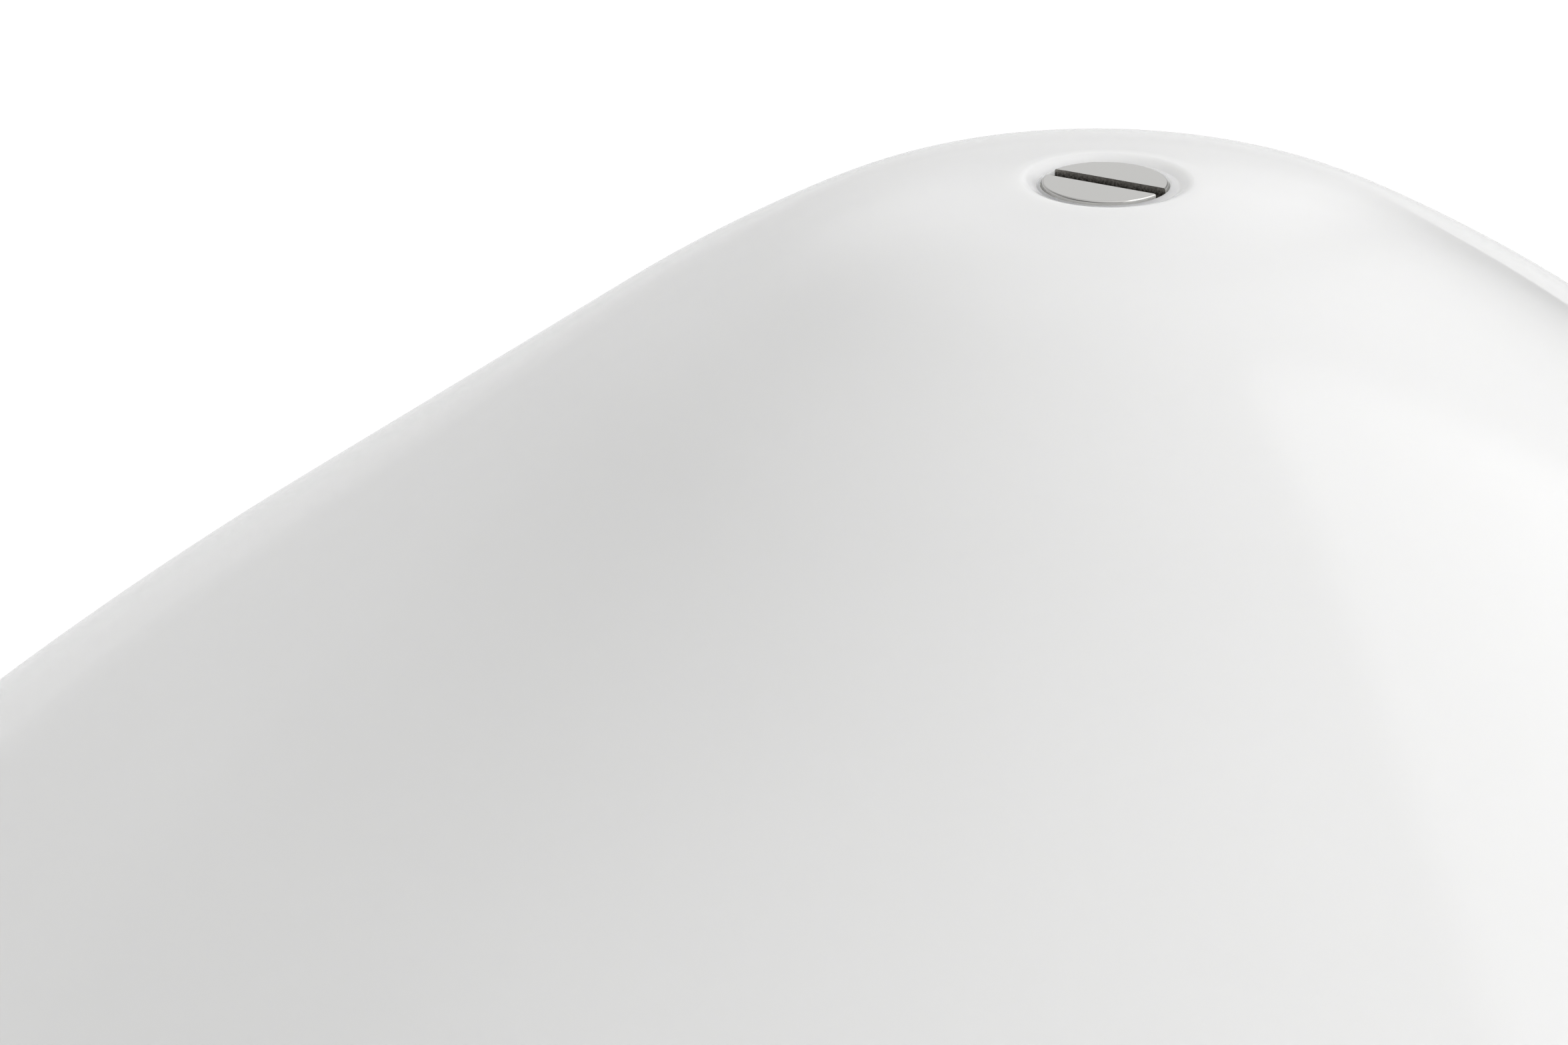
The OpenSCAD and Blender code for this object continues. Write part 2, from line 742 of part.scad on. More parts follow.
lock_washer();
cord_grommet();
terminal_block();
terminal_screws();
switch_bezel();
switch_nut();
switch_body();
switch_button();
switch_spring();
switch_lead();
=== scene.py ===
# %% [markdown]
# # A table lamp with a bell-shaped opal shade
#
# The lamp stands on a heavy round base. A chrome stem carries three small bulbs, and a large shade of white
# acrylic hangs over them from one slotted screw, sunk in a dimple at the middle of the crown.
#
# The lamp's sizes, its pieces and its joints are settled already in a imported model, which is loaded here as a
# fixed frame. This notebook gives each piece its final surface and finish around that frame. Outlines are
# written in millimetres, as on a workshop drawing, and become metres only when a mesh is made.

import json
import math

import bmesh
import bpy
from mathutils import Matrix, Vector


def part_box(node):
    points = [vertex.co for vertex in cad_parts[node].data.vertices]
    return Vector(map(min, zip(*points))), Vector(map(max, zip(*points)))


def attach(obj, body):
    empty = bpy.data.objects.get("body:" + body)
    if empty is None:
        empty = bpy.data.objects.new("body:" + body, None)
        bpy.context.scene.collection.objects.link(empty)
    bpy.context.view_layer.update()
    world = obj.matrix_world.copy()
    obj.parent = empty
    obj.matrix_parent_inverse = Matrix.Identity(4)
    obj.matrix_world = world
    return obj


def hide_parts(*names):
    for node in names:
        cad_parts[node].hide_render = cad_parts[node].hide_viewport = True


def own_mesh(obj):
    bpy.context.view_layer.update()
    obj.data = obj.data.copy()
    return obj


MM = 0.001
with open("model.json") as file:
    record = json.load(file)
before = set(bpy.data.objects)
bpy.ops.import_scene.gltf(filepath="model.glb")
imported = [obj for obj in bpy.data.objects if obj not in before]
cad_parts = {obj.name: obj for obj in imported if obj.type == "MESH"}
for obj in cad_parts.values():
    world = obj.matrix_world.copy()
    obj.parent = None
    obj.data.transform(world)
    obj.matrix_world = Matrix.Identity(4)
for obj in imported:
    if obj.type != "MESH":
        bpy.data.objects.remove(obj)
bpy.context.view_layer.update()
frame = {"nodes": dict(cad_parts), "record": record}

# %% [markdown]
# ## Reading sizes from the frame
#
# Heights come from the frame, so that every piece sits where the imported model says. `foot` and `top` give the
# lowest and highest level of a node, `centre` its middle and `reach` half its width. `new_object` puts a mesh or
# a camera into the scene.

# %% Levels and radii of a node, in millimetres
def foot(node):
    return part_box(node)[0].z / MM


def top(node):
    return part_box(node)[1].z / MM


def centre(node):
    low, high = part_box(node)
    return (low + high) / 2 / MM


def reach(node):
    low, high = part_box(node)
    return (high.x - low.x) / 2 / MM


def new_object(name, data):
    """A new object in the scene, at the origin."""
    made = bpy.data.objects.new(name, data)
    bpy.context.collection.objects.link(made)
    return made


face_z = top("retaining_screw")
floor_z = foot("head_washer")
print(f"screw face {face_z:.2f}, well floor {floor_z:.2f}, shade radius {reach('shade'):.1f}")

# %% [markdown]
# ## The camera
#
# A camera is three things: a place, a direction and a lens. This one is a long 135 mm lens about a metre from
# the crown, a little above it, so that the screw's round face is seen as a flat oval. It looks slightly to the
# left of the screw, which puts the screw right of the middle and the crown's outline high in the picture.

# %% Place the camera
LENS = 135  # millimetres
VIEW_DISTANCE = 0.9333
VIEW_ELEVATION = math.radians(18.5)
LOOK_LEFT = math.radians(3.309)
LOOK_DOWN = math.radians(21.835)
TILT = math.radians(-0.3)

camera = new_object("camera", bpy.data.cameras.new("camera"))
bpy.context.scene.camera = camera
camera.data.lens = LENS
camera.data.sensor_width = 36
camera.data.clip_end = 50

forward = Vector((-math.sin(LOOK_LEFT) * math.cos(LOOK_DOWN), math.cos(LOOK_LEFT) * math.cos(LOOK_DOWN),
                  -math.sin(LOOK_DOWN)))
level_right = Vector((math.cos(LOOK_LEFT), math.sin(LOOK_LEFT), 0))
level_up = level_right.cross(forward)
right = math.cos(TILT) * level_right + math.sin(TILT) * level_up
up = math.cos(TILT) * level_up - math.sin(TILT) * level_right
screw_face = Vector((0, 0, face_z * MM))
place = screw_face + VIEW_DISTANCE * Vector((0, -math.cos(VIEW_ELEVATION), math.sin(VIEW_ELEVATION)))
camera.matrix_world = Matrix.Translation(place) @ Matrix((right, up, -forward)).transposed().to_4x4()
print("camera at", [round(v, 3) for v in place])

# %% [markdown]
# ## Building node trees in code
#
# Materials and Geometry Nodes are both node trees. Two small helpers keep their code short: `add` makes a node
# and fills its inputs with values or with links from other nodes, and `group_tree` makes a reusable group with
# named inputs and outputs.

# %% Helpers for node trees
def add(tree, kind, inputs=None, **settings):
    """A new node; inputs maps a socket's name or number to a value or to the output that feeds it."""
    node = tree.nodes.new(kind)
    for name, value in settings.items():
        setattr(node, name, value)
    for name, value in (inputs or {}).items():
        if isinstance(value, bpy.types.NodeSocket):
            tree.links.new(value, node.inputs[name])
        else:
            node.inputs[name].default_value = value
    return node


def math_node(tree, operation, a, b=0.0, c=0.0):
    return add(tree, "ShaderNodeMath", {0: a, 1: b, 2: c}, operation=operation).outputs[0]


SOCKETS = {"geometry": "NodeSocketGeometry", "value": "NodeSocketFloat", "count": "NodeSocketInt",
           "material": "NodeSocketMaterial", "colour": "NodeSocketColor"}


def group_tree(name, kind, inputs, outputs):
    """A node group; inputs and outputs map each socket's name to its kind, or to (kind, default)."""
    tree = bpy.data.node_groups.new(name, kind)
    for side, sockets in (("INPUT", inputs), ("OUTPUT", outputs)):
        for title, form in sockets.items():
            form, default = form if isinstance(form, tuple) else (form, None)
            socket = tree.interface.new_socket(title, in_out=side, socket_type=SOCKETS[form])
            if default is not None:
                socket.default_value = default
    given = tree.nodes.new("NodeGroupInput").outputs
    result = tree.nodes.new("NodeGroupOutput").inputs
    return tree, given, result


def finish_geometry(tree, given, result, geometry):
    """The last nodes of every Geometry Nodes tree: real copies, smooth faces and one material."""
    real = add(tree, "GeometryNodeRealizeInstances", {"Geometry": geometry}).outputs["Geometry"]
    smooth = add(tree, "GeometryNodeSetShadeSmooth", {"Geometry": real}).outputs["Geometry"]
    painted = add(tree, "GeometryNodeSetMaterial", {"Geometry": smooth, "Material": given["Material"]})
    tree.links.new(painted.outputs["Geometry"], result["Geometry"])


print("socket kinds:", ", ".join(SOCKETS))

# %% [markdown]
# ## The lathe
#
# Most of this lamp is turned: the shade, the stem, the base, the screw and the bulbs are all an outline spun
# round an axis. The lathe below is one Geometry Nodes tree. It starts from a flat grid, one column for each
# point of the outline and one row for each step round, and bends the grid into place: a grid point takes its
# radius and height from the outline's point, and its angle from its row. Any outline can then be spun, with as
# many steps as the piece needs, and the seam is closed by merging.

# %% The lathe tree
def lathe_tree():
    tree, given, result = group_tree(
        "lathe", "GeometryNodeTree",
        {"Geometry": "geometry", "Steps Round": ("count", 96), "Material": "material"}, {"Geometry": "geometry"})
    outline = given["Geometry"]
    steps = given["Steps Round"]
    points = add(tree, "GeometryNodeAttributeDomainSize", {"Geometry": outline}).outputs["Point Count"]
    last = math_node(tree, "SUBTRACT", points, 1.0)
    grid = add(tree, "GeometryNodeMeshGrid", {
        "Size X": last, "Size Y": steps, "Vertices X": points, "Vertices Y": math_node(tree, "ADD", steps, 1.0)})
    place_on_grid = add(tree, "GeometryNodeInputPosition").outputs["Position"]
    axes = add(tree, "ShaderNodeSeparateXYZ", {"Vector": place_on_grid}).outputs
    column = math_node(tree, "ROUND", math_node(tree, "MULTIPLY_ADD", last, 0.5, axes["X"]))
    row = math_node(tree, "ROUND", math_node(tree, "MULTIPLY_ADD", steps, 0.5, axes["Y"]))
    angle = math_node(tree, "DIVIDE", math_node(tree, "MULTIPLY", row, math.tau), steps)
    sample = add(tree, "GeometryNodeSampleIndex", {"Geometry": outline, "Index": column},
                 data_type="FLOAT_VECTOR")
    tree.links.new(add(tree, "GeometryNodeInputPosition").outputs["Position"], sample.inputs["Value"])
    spun = add(tree, "ShaderNodeVectorRotate", {"Vector": sample.outputs["Value"], "Angle": angle},
               rotation_type="Z_AXIS").outputs["Vector"]
    bent = add(tree, "GeometryNodeSetPosition", {"Geometry": grid.outputs["Mesh"], "Position": spun})
    merged = add(tree, "GeometryNodeMergeByDistance", {"Geometry": bent.outputs["Geometry"], "Distance": 1e-6})
    finish_geometry(tree, given, result, merged.outputs["Geometry"])
    return tree


LATHE = lathe_tree()
print("lathe tree:", len(LATHE.nodes), "nodes")

# %% [markdown]
# A tree does its work as a modifier. Once the result is right the modifier has done its job, so `settled` keeps
# the plain mesh and drops the modifier and the source object. It also clears what merging can leave behind and
# turns every face outwards. `keep` then hands the finished piece to the frame: it rides on the body of the plain
# nodes that it stands for, and those nodes are hidden.

# %% From a tree to a finished piece
def made_by(tree, name, mesh, inputs):
    """The plain mesh that the tree makes from mesh, as a new object."""
    source = new_object(name + "_source", mesh)
    modifier = source.modifiers.new(tree.name, "NODES")
    modifier.node_group = tree
    for item in tree.interface.items_tree:
        if item.in_out == "INPUT" and item.name in inputs:
            modifier[item.identifier] = inputs[item.name]
    return settled(source, name)


def settled(source, name):
    """The mesh that an object's modifiers make, cleaned, as a new object that takes the old one's place."""
    ready = source.evaluated_get(bpy.context.evaluated_depsgraph_get())
    mesh = bpy.data.meshes.new_from_object(ready)
    mesh.name = name
    material = mesh.materials[mesh.polygons[0].material_index]
    bpy.data.objects.remove(source)
    shell = bmesh.new()
    shell.from_mesh(mesh)
    bmesh.ops.remove_doubles(shell, verts=shell.verts, dist=1e-7)
    bmesh.ops.dissolve_degenerate(shell, edges=shell.edges, dist=1e-8)
    loose = [edge for edge in shell.edges if not edge.link_faces]
    bmesh.ops.delete(shell, geom=loose, context="EDGES")
    bmesh.ops.recalc_face_normals(shell, faces=shell.faces)
    for face in shell.faces:
        face.material_index = 0
    shell.to_mesh(mesh)
    shell.free()
    mesh.materials.clear()
    mesh.materials.append(material)
    return new_object(name, mesh)


SLOT = {part["node"]: part["material_slot"] for part in frame["record"]["subparts"]}
BODY = {node: body for body, nodes in frame["record"]["behaviour"]["bodies"].items() for node in nodes}


def keep(piece, *nodes):
    """The piece stands for these frame nodes: it rides on their body, and their frame pieces are hidden."""
    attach(piece, BODY[nodes[0]])
    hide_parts(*nodes)
    print(f"{piece.name}: {len(piece.data.polygons)} faces on {BODY[nodes[0]]}, for {', '.join(nodes)}")
    return piece


def turned(name, outline, material, steps=96, at=(0, 0)):
    """A turned piece; outline is a list of (radius, height) in millimetres, at is its axis in plan."""
    mesh = bpy.data.meshes.new(name + "_outline")
    mesh.from_pydata([Vector((r, 0, z)) * MM for r, z in outline], [], [])
    piece = made_by(LATHE, name, mesh, {"Steps Round": steps, "Material": material})
    piece.data.transform(Matrix.Translation(Vector((at[0], at[1], 0)) * MM))
    return piece


# %% [markdown]
# Real edges are never perfectly sharp: a tool or a mould leaves a small round, and that round is what catches
# the light. `rounded` turns the corners of an outline into small arcs. It also puts a point a little before and
# after each arc, so that smooth shading stays on the arc and doesn't spread over the flat faces beside it.
# `bend` gives the points of one large arc.

# %% Corners with small arcs, and bends
def rounded(corners, closed=False, steps=4):
    """Outline points from corners, each (radius, height) or (radius, height, size of the round)."""
    count = len(corners)
    points = []
    for i, corner in enumerate(corners):
        here = Vector(corner[:2])
        size = corner[2] if len(corner) > 2 else 0
        if size == 0 or (not closed and i in (0, count - 1)):
            points.append(here)
            continue
        back = Vector(corners[i - 1][:2]) - here
        on = Vector(corners[(i + 1) % count][:2]) - here
        half = back.angle(on) / 2
        along = min(size / math.tan(half), 0.4 * back.length, 0.4 * on.length)
        back.normalize()
        on.normalize()
        middle = here + (back + on).normalized() * along / math.cos(half)
        start, end = here + back * along - middle, here + on * along - middle
        sweep = start.angle_signed(end)
        arc = [middle + Matrix.Rotation(-sweep * k / steps, 2) @ start for k in range(steps + 1)]
        points += [here + back * along * 1.2] + arc + [here + on * along * 1.2]
    if closed:
        points.append(points[0].copy())
    return [tuple(p) for p in points]


def bend(middle, radius, start, end, steps):
    """Points of an arc about its middle, between two angles in degrees."""
    angles = [math.radians(start + (end - start) * k / steps) for k in range(steps + 1)]
    return [(middle[0] + radius * math.cos(a), middle[1] + radius * math.sin(a)) for a in angles]


def spoke(distance, angle):
    """The place in plan at a distance from the middle, at an angle in degrees."""
    return (distance * math.cos(math.radians(angle)), distance * math.sin(math.radians(angle)))


print("a corner becomes", len(rounded([(0, 0), (10, 0, 1), (10, 10)])) - 2, "points")

# %% [markdown]
# ## Formulas in a node tree
#
# A tree that works out a shape is mostly arithmetic, and arithmetic reads best as a formula. A `Wire` stands for
# an output socket and understands +, -, * and /, so `radius - depth * wave` in Python adds the two maths nodes
# that do it. The small functions below it cover the rest of what the trees need.

# %% Write node arithmetic as formulas
class Wire:
    def __init__(self, tree, socket):
        self.tree = tree
        self.socket = socket

    def work(self, operation, other=0.0, flip=False):
        a, b = self.socket, plain(other)
        return Wire(self.tree, math_node(self.tree, operation, *((b, a) if flip else (a, b))))

    def __add__(self, other):
        return self.work("ADD", other)

    def __sub__(self, other):
        return self.work("SUBTRACT", other)

    def __mul__(self, other):
        return self.work("MULTIPLY", other)

    def __truediv__(self, other):
        return self.work("DIVIDE", other)

    def __rsub__(self, other):
        return self.work("SUBTRACT", other, flip=True)

    __radd__ = __add__
    __rmul__ = __mul__


def plain(value):
    return value.socket if isinstance(value, Wire) else value


def smallest(a, b):
    return a.work("MINIMUM", b)


def largest(a, b):
    return a.work("MAXIMUM", b)


def choose(test, yes, no):
    """yes where test is 1, no where it is 0."""
    return test * yes + (1.0 - test) * no


# %% [markdown]
# ## Screw threads
#
# A thread is a wave wrapped round a cylinder: going once round moves the wave up by one pitch. The tree makes an
# upright tube of rings and takes a little off its radius where the wave dips. Metal screws have straight
# flanks and a bulb's cap has soft round ones, so `Roundness` mixes between the two. The radius is also held back
# near both ends, which cuts the chamfer that lets a real thread start.

# %% The thread tree
THREAD_RINGS = 12


def thread_tree():
    names = ("Radius", "Depth", "Pitch", "Foot", "Top", "Bore", "Roundness")
    sockets = {"Geometry": "geometry", **{name: "value" for name in names}, "Steps Round": ("count", 64),
               "Material": "material"}
    tree, given, result = group_tree("thread", "GeometryNodeTree", sockets, {"Geometry": "geometry"})
    radius, depth, pitch, low, high, bore, roundness = (Wire(tree, given[name]) for name in names)
    steps = Wire(tree, given["Steps Round"])
    rings = ((high - low) / pitch * float(THREAD_RINGS)).work("CEIL")
    grid = add(tree, "GeometryNodeMeshGrid", {
        "Size X": plain(rings + 3.0), "Size Y": plain(steps), "Vertices X": plain(rings + 4.0),
        "Vertices Y": plain(steps + 1.0)})
    axes = add(tree, "ShaderNodeSeparateXYZ", {
        "Vector": add(tree, "GeometryNodeInputPosition").outputs["Position"]}).outputs
    ring = (Wire(tree, axes["X"]) + (rings + 3.0) * 0.5).work("ROUND") - 1.0
    angle = (Wire(tree, axes["Y"]) + steps * 0.5).work("ROUND") / steps * math.tau
    share = smallest(largest(ring / rings, 0.0), 1.0)
    height = low + (high - low) * share
    turns = height / pitch - angle / math.tau
    ramp = turns.work("FRACT") * 2.0 - 1.0
    slope = ramp.work("ABSOLUTE")
    straight = smallest(largest((slope - 0.12) / 0.76, 0.0), 1.0)
    soft = slope * slope * (3.0 - slope * 2.0)
    wave = straight + (soft - straight) * roundness
    from_end = smallest(height - low, high - height)
    outside = smallest(radius - depth * wave, radius - depth + from_end)
    on_bore = largest(ring.work("LESS_THAN", -0.5), ring.work("GREATER_THAN", rings + 0.5))
    closing = ring.work("GREATER_THAN", rings + 1.5)
    distance = choose(on_bore, bore, outside)
    level = choose(closing, low, height)
    point = add(tree, "ShaderNodeCombineXYZ", {
        "X": plain(distance * angle.work("COSINE")), "Y": plain(distance * angle.work("SINE")),
        "Z": plain(level)})
    bent = add(tree, "GeometryNodeSetPosition", {
        "Geometry": grid.outputs["Mesh"], "Position": point.outputs["Vector"]})
    merged = add(tree, "GeometryNodeMergeByDistance", {"Geometry": bent.outputs["Geometry"], "Distance": 1e-6})
    finish_geometry(tree, given, result, merged.outputs["Geometry"])
    return tree


THREAD = thread_tree()
print("thread:", len(THREAD.nodes), "nodes")


def threaded(name, material, radius, low, high, pitch, depth, bore=0.0, roundness=0.0, at=(0, 0), steps=64):
    """A threaded piece with its crests at radius; lengths in millimetres."""
    piece = made_by(THREAD, name, bpy.data.meshes.new(name + "_seed"), {
        "Radius": radius * MM, "Depth": depth * MM, "Pitch": pitch * MM, "Foot": low * MM, "Top": high * MM,
        "Bore": bore * MM, "Roundness": roundness, "Steps Round": steps, "Material": material})
    piece.data.transform(Matrix.Translation(Vector((at[0], at[1], 0)) * MM))
    return piece


# %% [markdown]
# ## Rings of copies, cables and coils
#
# Three more trees do the rest. `RING` repeats one shape at equal angles round the upright axis, as ribs and
# knurls are. `CABLE` follows a few given points with a smooth curve and gives it a round section.
# `COIL` winds a wire as a spring.

# %% The trees for rings, cables and coils
def ring_tree():
    tree, given, result = group_tree(
        "ring of copies", "GeometryNodeTree",
        {"Geometry": "geometry", "Copies": ("count", 12), "Material": "material"}, {"Geometry": "geometry"})
    places = add(tree, "GeometryNodeMeshLine", {"Count": given["Copies"], "Offset": (0, 0, 0)})
    index = Wire(tree, add(tree, "GeometryNodeInputIndex").outputs["Index"])
    turn = index * math.tau / Wire(tree, given["Copies"])
    spin = add(tree, "ShaderNodeCombineXYZ", {"Z": plain(turn)})
    copies = add(tree, "GeometryNodeInstanceOnPoints", {
        "Points": places.outputs["Mesh"], "Instance": given["Geometry"], "Rotation": spin.outputs["Vector"]})
    finish_geometry(tree, given, result, copies.outputs["Instances"])
    return tree


def cable_tree():
    tree, given, result = group_tree(
        "cable", "GeometryNodeTree",
        {"Geometry": "geometry", "Radius": "value", "Spacing": "value", "Sides": ("count", 16),
         "Material": "material"}, {"Geometry": "geometry"})
    line = add(tree, "GeometryNodeMeshToCurve", {"Mesh": given["Geometry"]})
    smooth = add(tree, "GeometryNodeCurveSplineType", {"Curve": line.outputs["Curve"]}, spline_type="CATMULL_ROM")
    even = add(tree, "GeometryNodeResampleCurve", {
        "Curve": smooth.outputs["Curve"], "Length": given["Spacing"]}, mode="LENGTH")
    section = add(tree, "GeometryNodeCurvePrimitiveCircle", {
        "Resolution": given["Sides"], "Radius": given["Radius"]}, mode="RADIUS")
    tube = add(tree, "GeometryNodeCurveToMesh", {
        "Curve": even.outputs["Curve"], "Profile Curve": section.outputs["Curve"], "Fill Caps": True})
    finish_geometry(tree, given, result, tube.outputs["Mesh"])
    return tree


def coil_tree():
    names = ("Coil Radius", "Wire Radius", "Foot", "Height", "Turns")
    tree, given, result = group_tree(
        "coil", "GeometryNodeTree",
        {"Geometry": "geometry", **{name: "value" for name in names}, "Material": "material"},
        {"Geometry": "geometry"})
    spiral = add(tree, "GeometryNodeCurveSpiral", {
        "Resolution": 32, "Rotations": given["Turns"], "Start Radius": given["Coil Radius"],
        "End Radius": given["Coil Radius"], "Height": given["Height"]})
    lift = add(tree, "ShaderNodeCombineXYZ", {"Z": given["Foot"]})
    raised = add(tree, "GeometryNodeSetPosition", {
        "Geometry": spiral.outputs["Curve"], "Offset": lift.outputs["Vector"]})
    section = add(tree, "GeometryNodeCurvePrimitiveCircle", {
        "Resolution": 12, "Radius": given["Wire Radius"]}, mode="RADIUS")
    wire = add(tree, "GeometryNodeCurveToMesh", {
        "Curve": raised.outputs["Geometry"], "Profile Curve": section.outputs["Curve"], "Fill Caps": True})
    finish_geometry(tree, given, result, wire.outputs["Mesh"])
    return tree


RING = ring_tree()
CABLE = cable_tree()
COIL = coil_tree()


def swept(name, path, radius, material, spacing=1.5, sides=16):
    """A round cable along a path of points in millimetres."""
    mesh = bpy.data.meshes.new(name + "_path")
    mesh.from_pydata([Vector(p) * MM for p in path], [(i, i + 1) for i in range(len(path) - 1)], [])
    return made_by(CABLE, name, mesh, {
        "Radius": radius * MM, "Spacing": spacing * MM, "Sides": sides, "Material": material})


def joined(name, pieces):
    """Several pieces of one finish as one object."""
    whole = bmesh.new()
    for piece in pieces:
        whole.from_mesh(piece.data)
    mesh = bpy.data.meshes.new(name)
    for material in pieces[0].data.materials:
        mesh.materials.append(material)
    whole.to_mesh(mesh)
    whole.free()
    for piece in pieces:
        bpy.data.objects.remove(piece)
    return new_object(name, mesh)


print("trees:", ", ".join(tree.name for tree in (LATHE, THREAD, RING, CABLE, COIL)))

# %% [markdown]
# ## Finishes
#
# Four effects are shared by many finishes, so each is a shader group with its own inputs. `handling` is what
# fingers and dust leave: soft smears that change the roughness a little. `scratches` are the hairlines that
# polishing and wiping leave, as long thin streaks in three directions. `grain` is the fine texture of a moulded
# or cast skin. `tint drift` lets a colour vary slightly over a hand's width, as real batches and lights do.

# %% Shared shader groups
def object_place(tree, scale=(1, 1, 1), turn=(0, 0, 0)):
    """Object coordinates, scaled and turned."""
    where = add(tree, "ShaderNodeTexCoord").outputs["Object"]
    return add(tree, "ShaderNodeMapping", {
        "Vector": where, "Scale": scale, "Rotation": turn}).outputs["Vector"]


def noise(tree, scale, detail=3.0, where=None):
    return add(tree, "ShaderNodeTexNoise", {
        "Vector": where or object_place(tree), "Scale": scale, "Detail": detail}).outputs[0]


def remap(tree, value, low, high):
    """0 up to low, 1 from high on, and even in between."""
    return add(tree, "ShaderNodeMapRange", {
        "Value": value, "From Min": low, "From Max": high}).outputs["Result"]


def handling_group():
    tree, given, result = group_tree(
        "handling", "ShaderNodeTree",
        {"Roughness": ("value", 0.1), "Smears": ("value", 0.03), "Dust": ("value", 0.05)}, {"Roughness": "value"})
    smears = Wire(tree, remap(tree, noise(tree, 18.0, 5.0), 0.45, 0.75)) * Wire(tree, given["Smears"])
    specks = Wire(tree, remap(tree, noise(tree, 1500.0, 1.0), 0.74, 0.80)) * Wire(tree, given["Dust"])
    tree.links.new(plain(Wire(tree, given["Roughness"]) + smears + specks), result["Roughness"])
    return tree


def scratches_group():
    tree, given, result = group_tree(
        "scratches", "ShaderNodeTree", {"Fineness": ("value", 900.0), "Amount": ("value", 0.5)},
        {"Height": "value"})
    total = None
    for turn in (0.4, 1.5, 2.6):
        where = object_place(tree, scale=(1.0, 0.03, 1.0), turn=(0, 0, turn))
        streak = Wire(tree, remap(tree, noise(tree, given["Fineness"], 2.0, where), 0.66, 0.70))
        total = streak if total is None else total + streak
    tree.links.new(plain(total * Wire(tree, given["Amount"])), result["Height"])
    return tree


def grain_group():
    tree, given, result = group_tree(
        "grain", "ShaderNodeTree", {"Fineness": ("value", 1200.0), "Amount": ("value", 1.0)},
        {"Height": "value"})
    fine = Wire(tree, noise(tree, given["Fineness"], 2.0))
    coarse = Wire(tree, noise(tree, 90.0, 2.0))
    tree.links.new(plain((fine * 0.7 + coarse * 0.3) * Wire(tree, given["Amount"])), result["Height"])
    return tree


def drift_group():
    tree, given, result = group_tree(
        "tint drift", "ShaderNodeTree",
        {"Colour": ("colour", (0.8, 0.8, 0.8, 1)), "Deep": ("colour", (0.7, 0.7, 0.7, 1)),
         "Size": ("value", 12.0)},
        {"Colour": "colour"})
    mask = remap(tree, noise(tree, given["Size"], 2.0), 0.35, 0.65)
    mixed = add(tree, "ShaderNodeMix", {"Factor": mask, 6: given["Colour"], 7: given["Deep"]}, data_type="RGBA")
    tree.links.new(mixed.outputs[2], result["Colour"])
    return tree


HANDLING, SCRATCHES, GRAIN, DRIFT = handling_group(), scratches_group(), grain_group(), drift_group()
print("shader groups:", ", ".join(group.name for group in (HANDLING, SCRATCHES, GRAIN, DRIFT)))

# %% [markdown]
# Each entry of `LOOKS` becomes one call of `finish`: a Principled shader whose fixed numbers sit on its own
# sockets, fed by the shared groups for what changes over the surface. The bump distances are real ones, a few
# thousandths of a millimetre on a polished part and some hundredths on a cast one.

# %% One function for every finish
def finish(name, colour, deep, roughness, smears=0.03, dust=0.0, bump=None, group=None, fineness=900.0,
           amount=0.5, **sockets):
    material = bpy.data.materials.new(name)
    material.use_nodes = True
    tree = material.node_tree
    shader = tree.nodes["Principled BSDF"]
    tint = add(tree, "ShaderNodeGroup", node_tree=DRIFT)
    tint.inputs["Colour"].default_value = (*colour, 1)
    tint.inputs["Deep"].default_value = (*deep, 1)
    tree.links.new(tint.outputs["Colour"], shader.inputs["Base Color"])
    marks = add(tree, "ShaderNodeGroup", node_tree=HANDLING)
    marks.inputs["Roughness"].default_value = roughness
    marks.inputs["Smears"].default_value = smears
    marks.inputs["Dust"].default_value = dust
    tree.links.new(marks.outputs["Roughness"], shader.inputs["Roughness"])
    if group:
        texture = add(tree, "ShaderNodeGroup", node_tree=group)
        texture.inputs["Fineness"].default_value = fineness
        texture.inputs["Amount"].default_value = amount
        relief = add(tree, "ShaderNodeBump", {"Height": texture.outputs["Height"], "Distance": bump * MM})
        tree.links.new(relief.outputs["Normal"], shader.inputs["Normal"])
    for socket, value in sockets.items():
        shader.inputs[socket.replace("_", " ")].default_value = value
    return material


def look(*numbers, **settings):
    """The arguments of one finish, kept for the loop that makes them all."""
    return numbers, settings


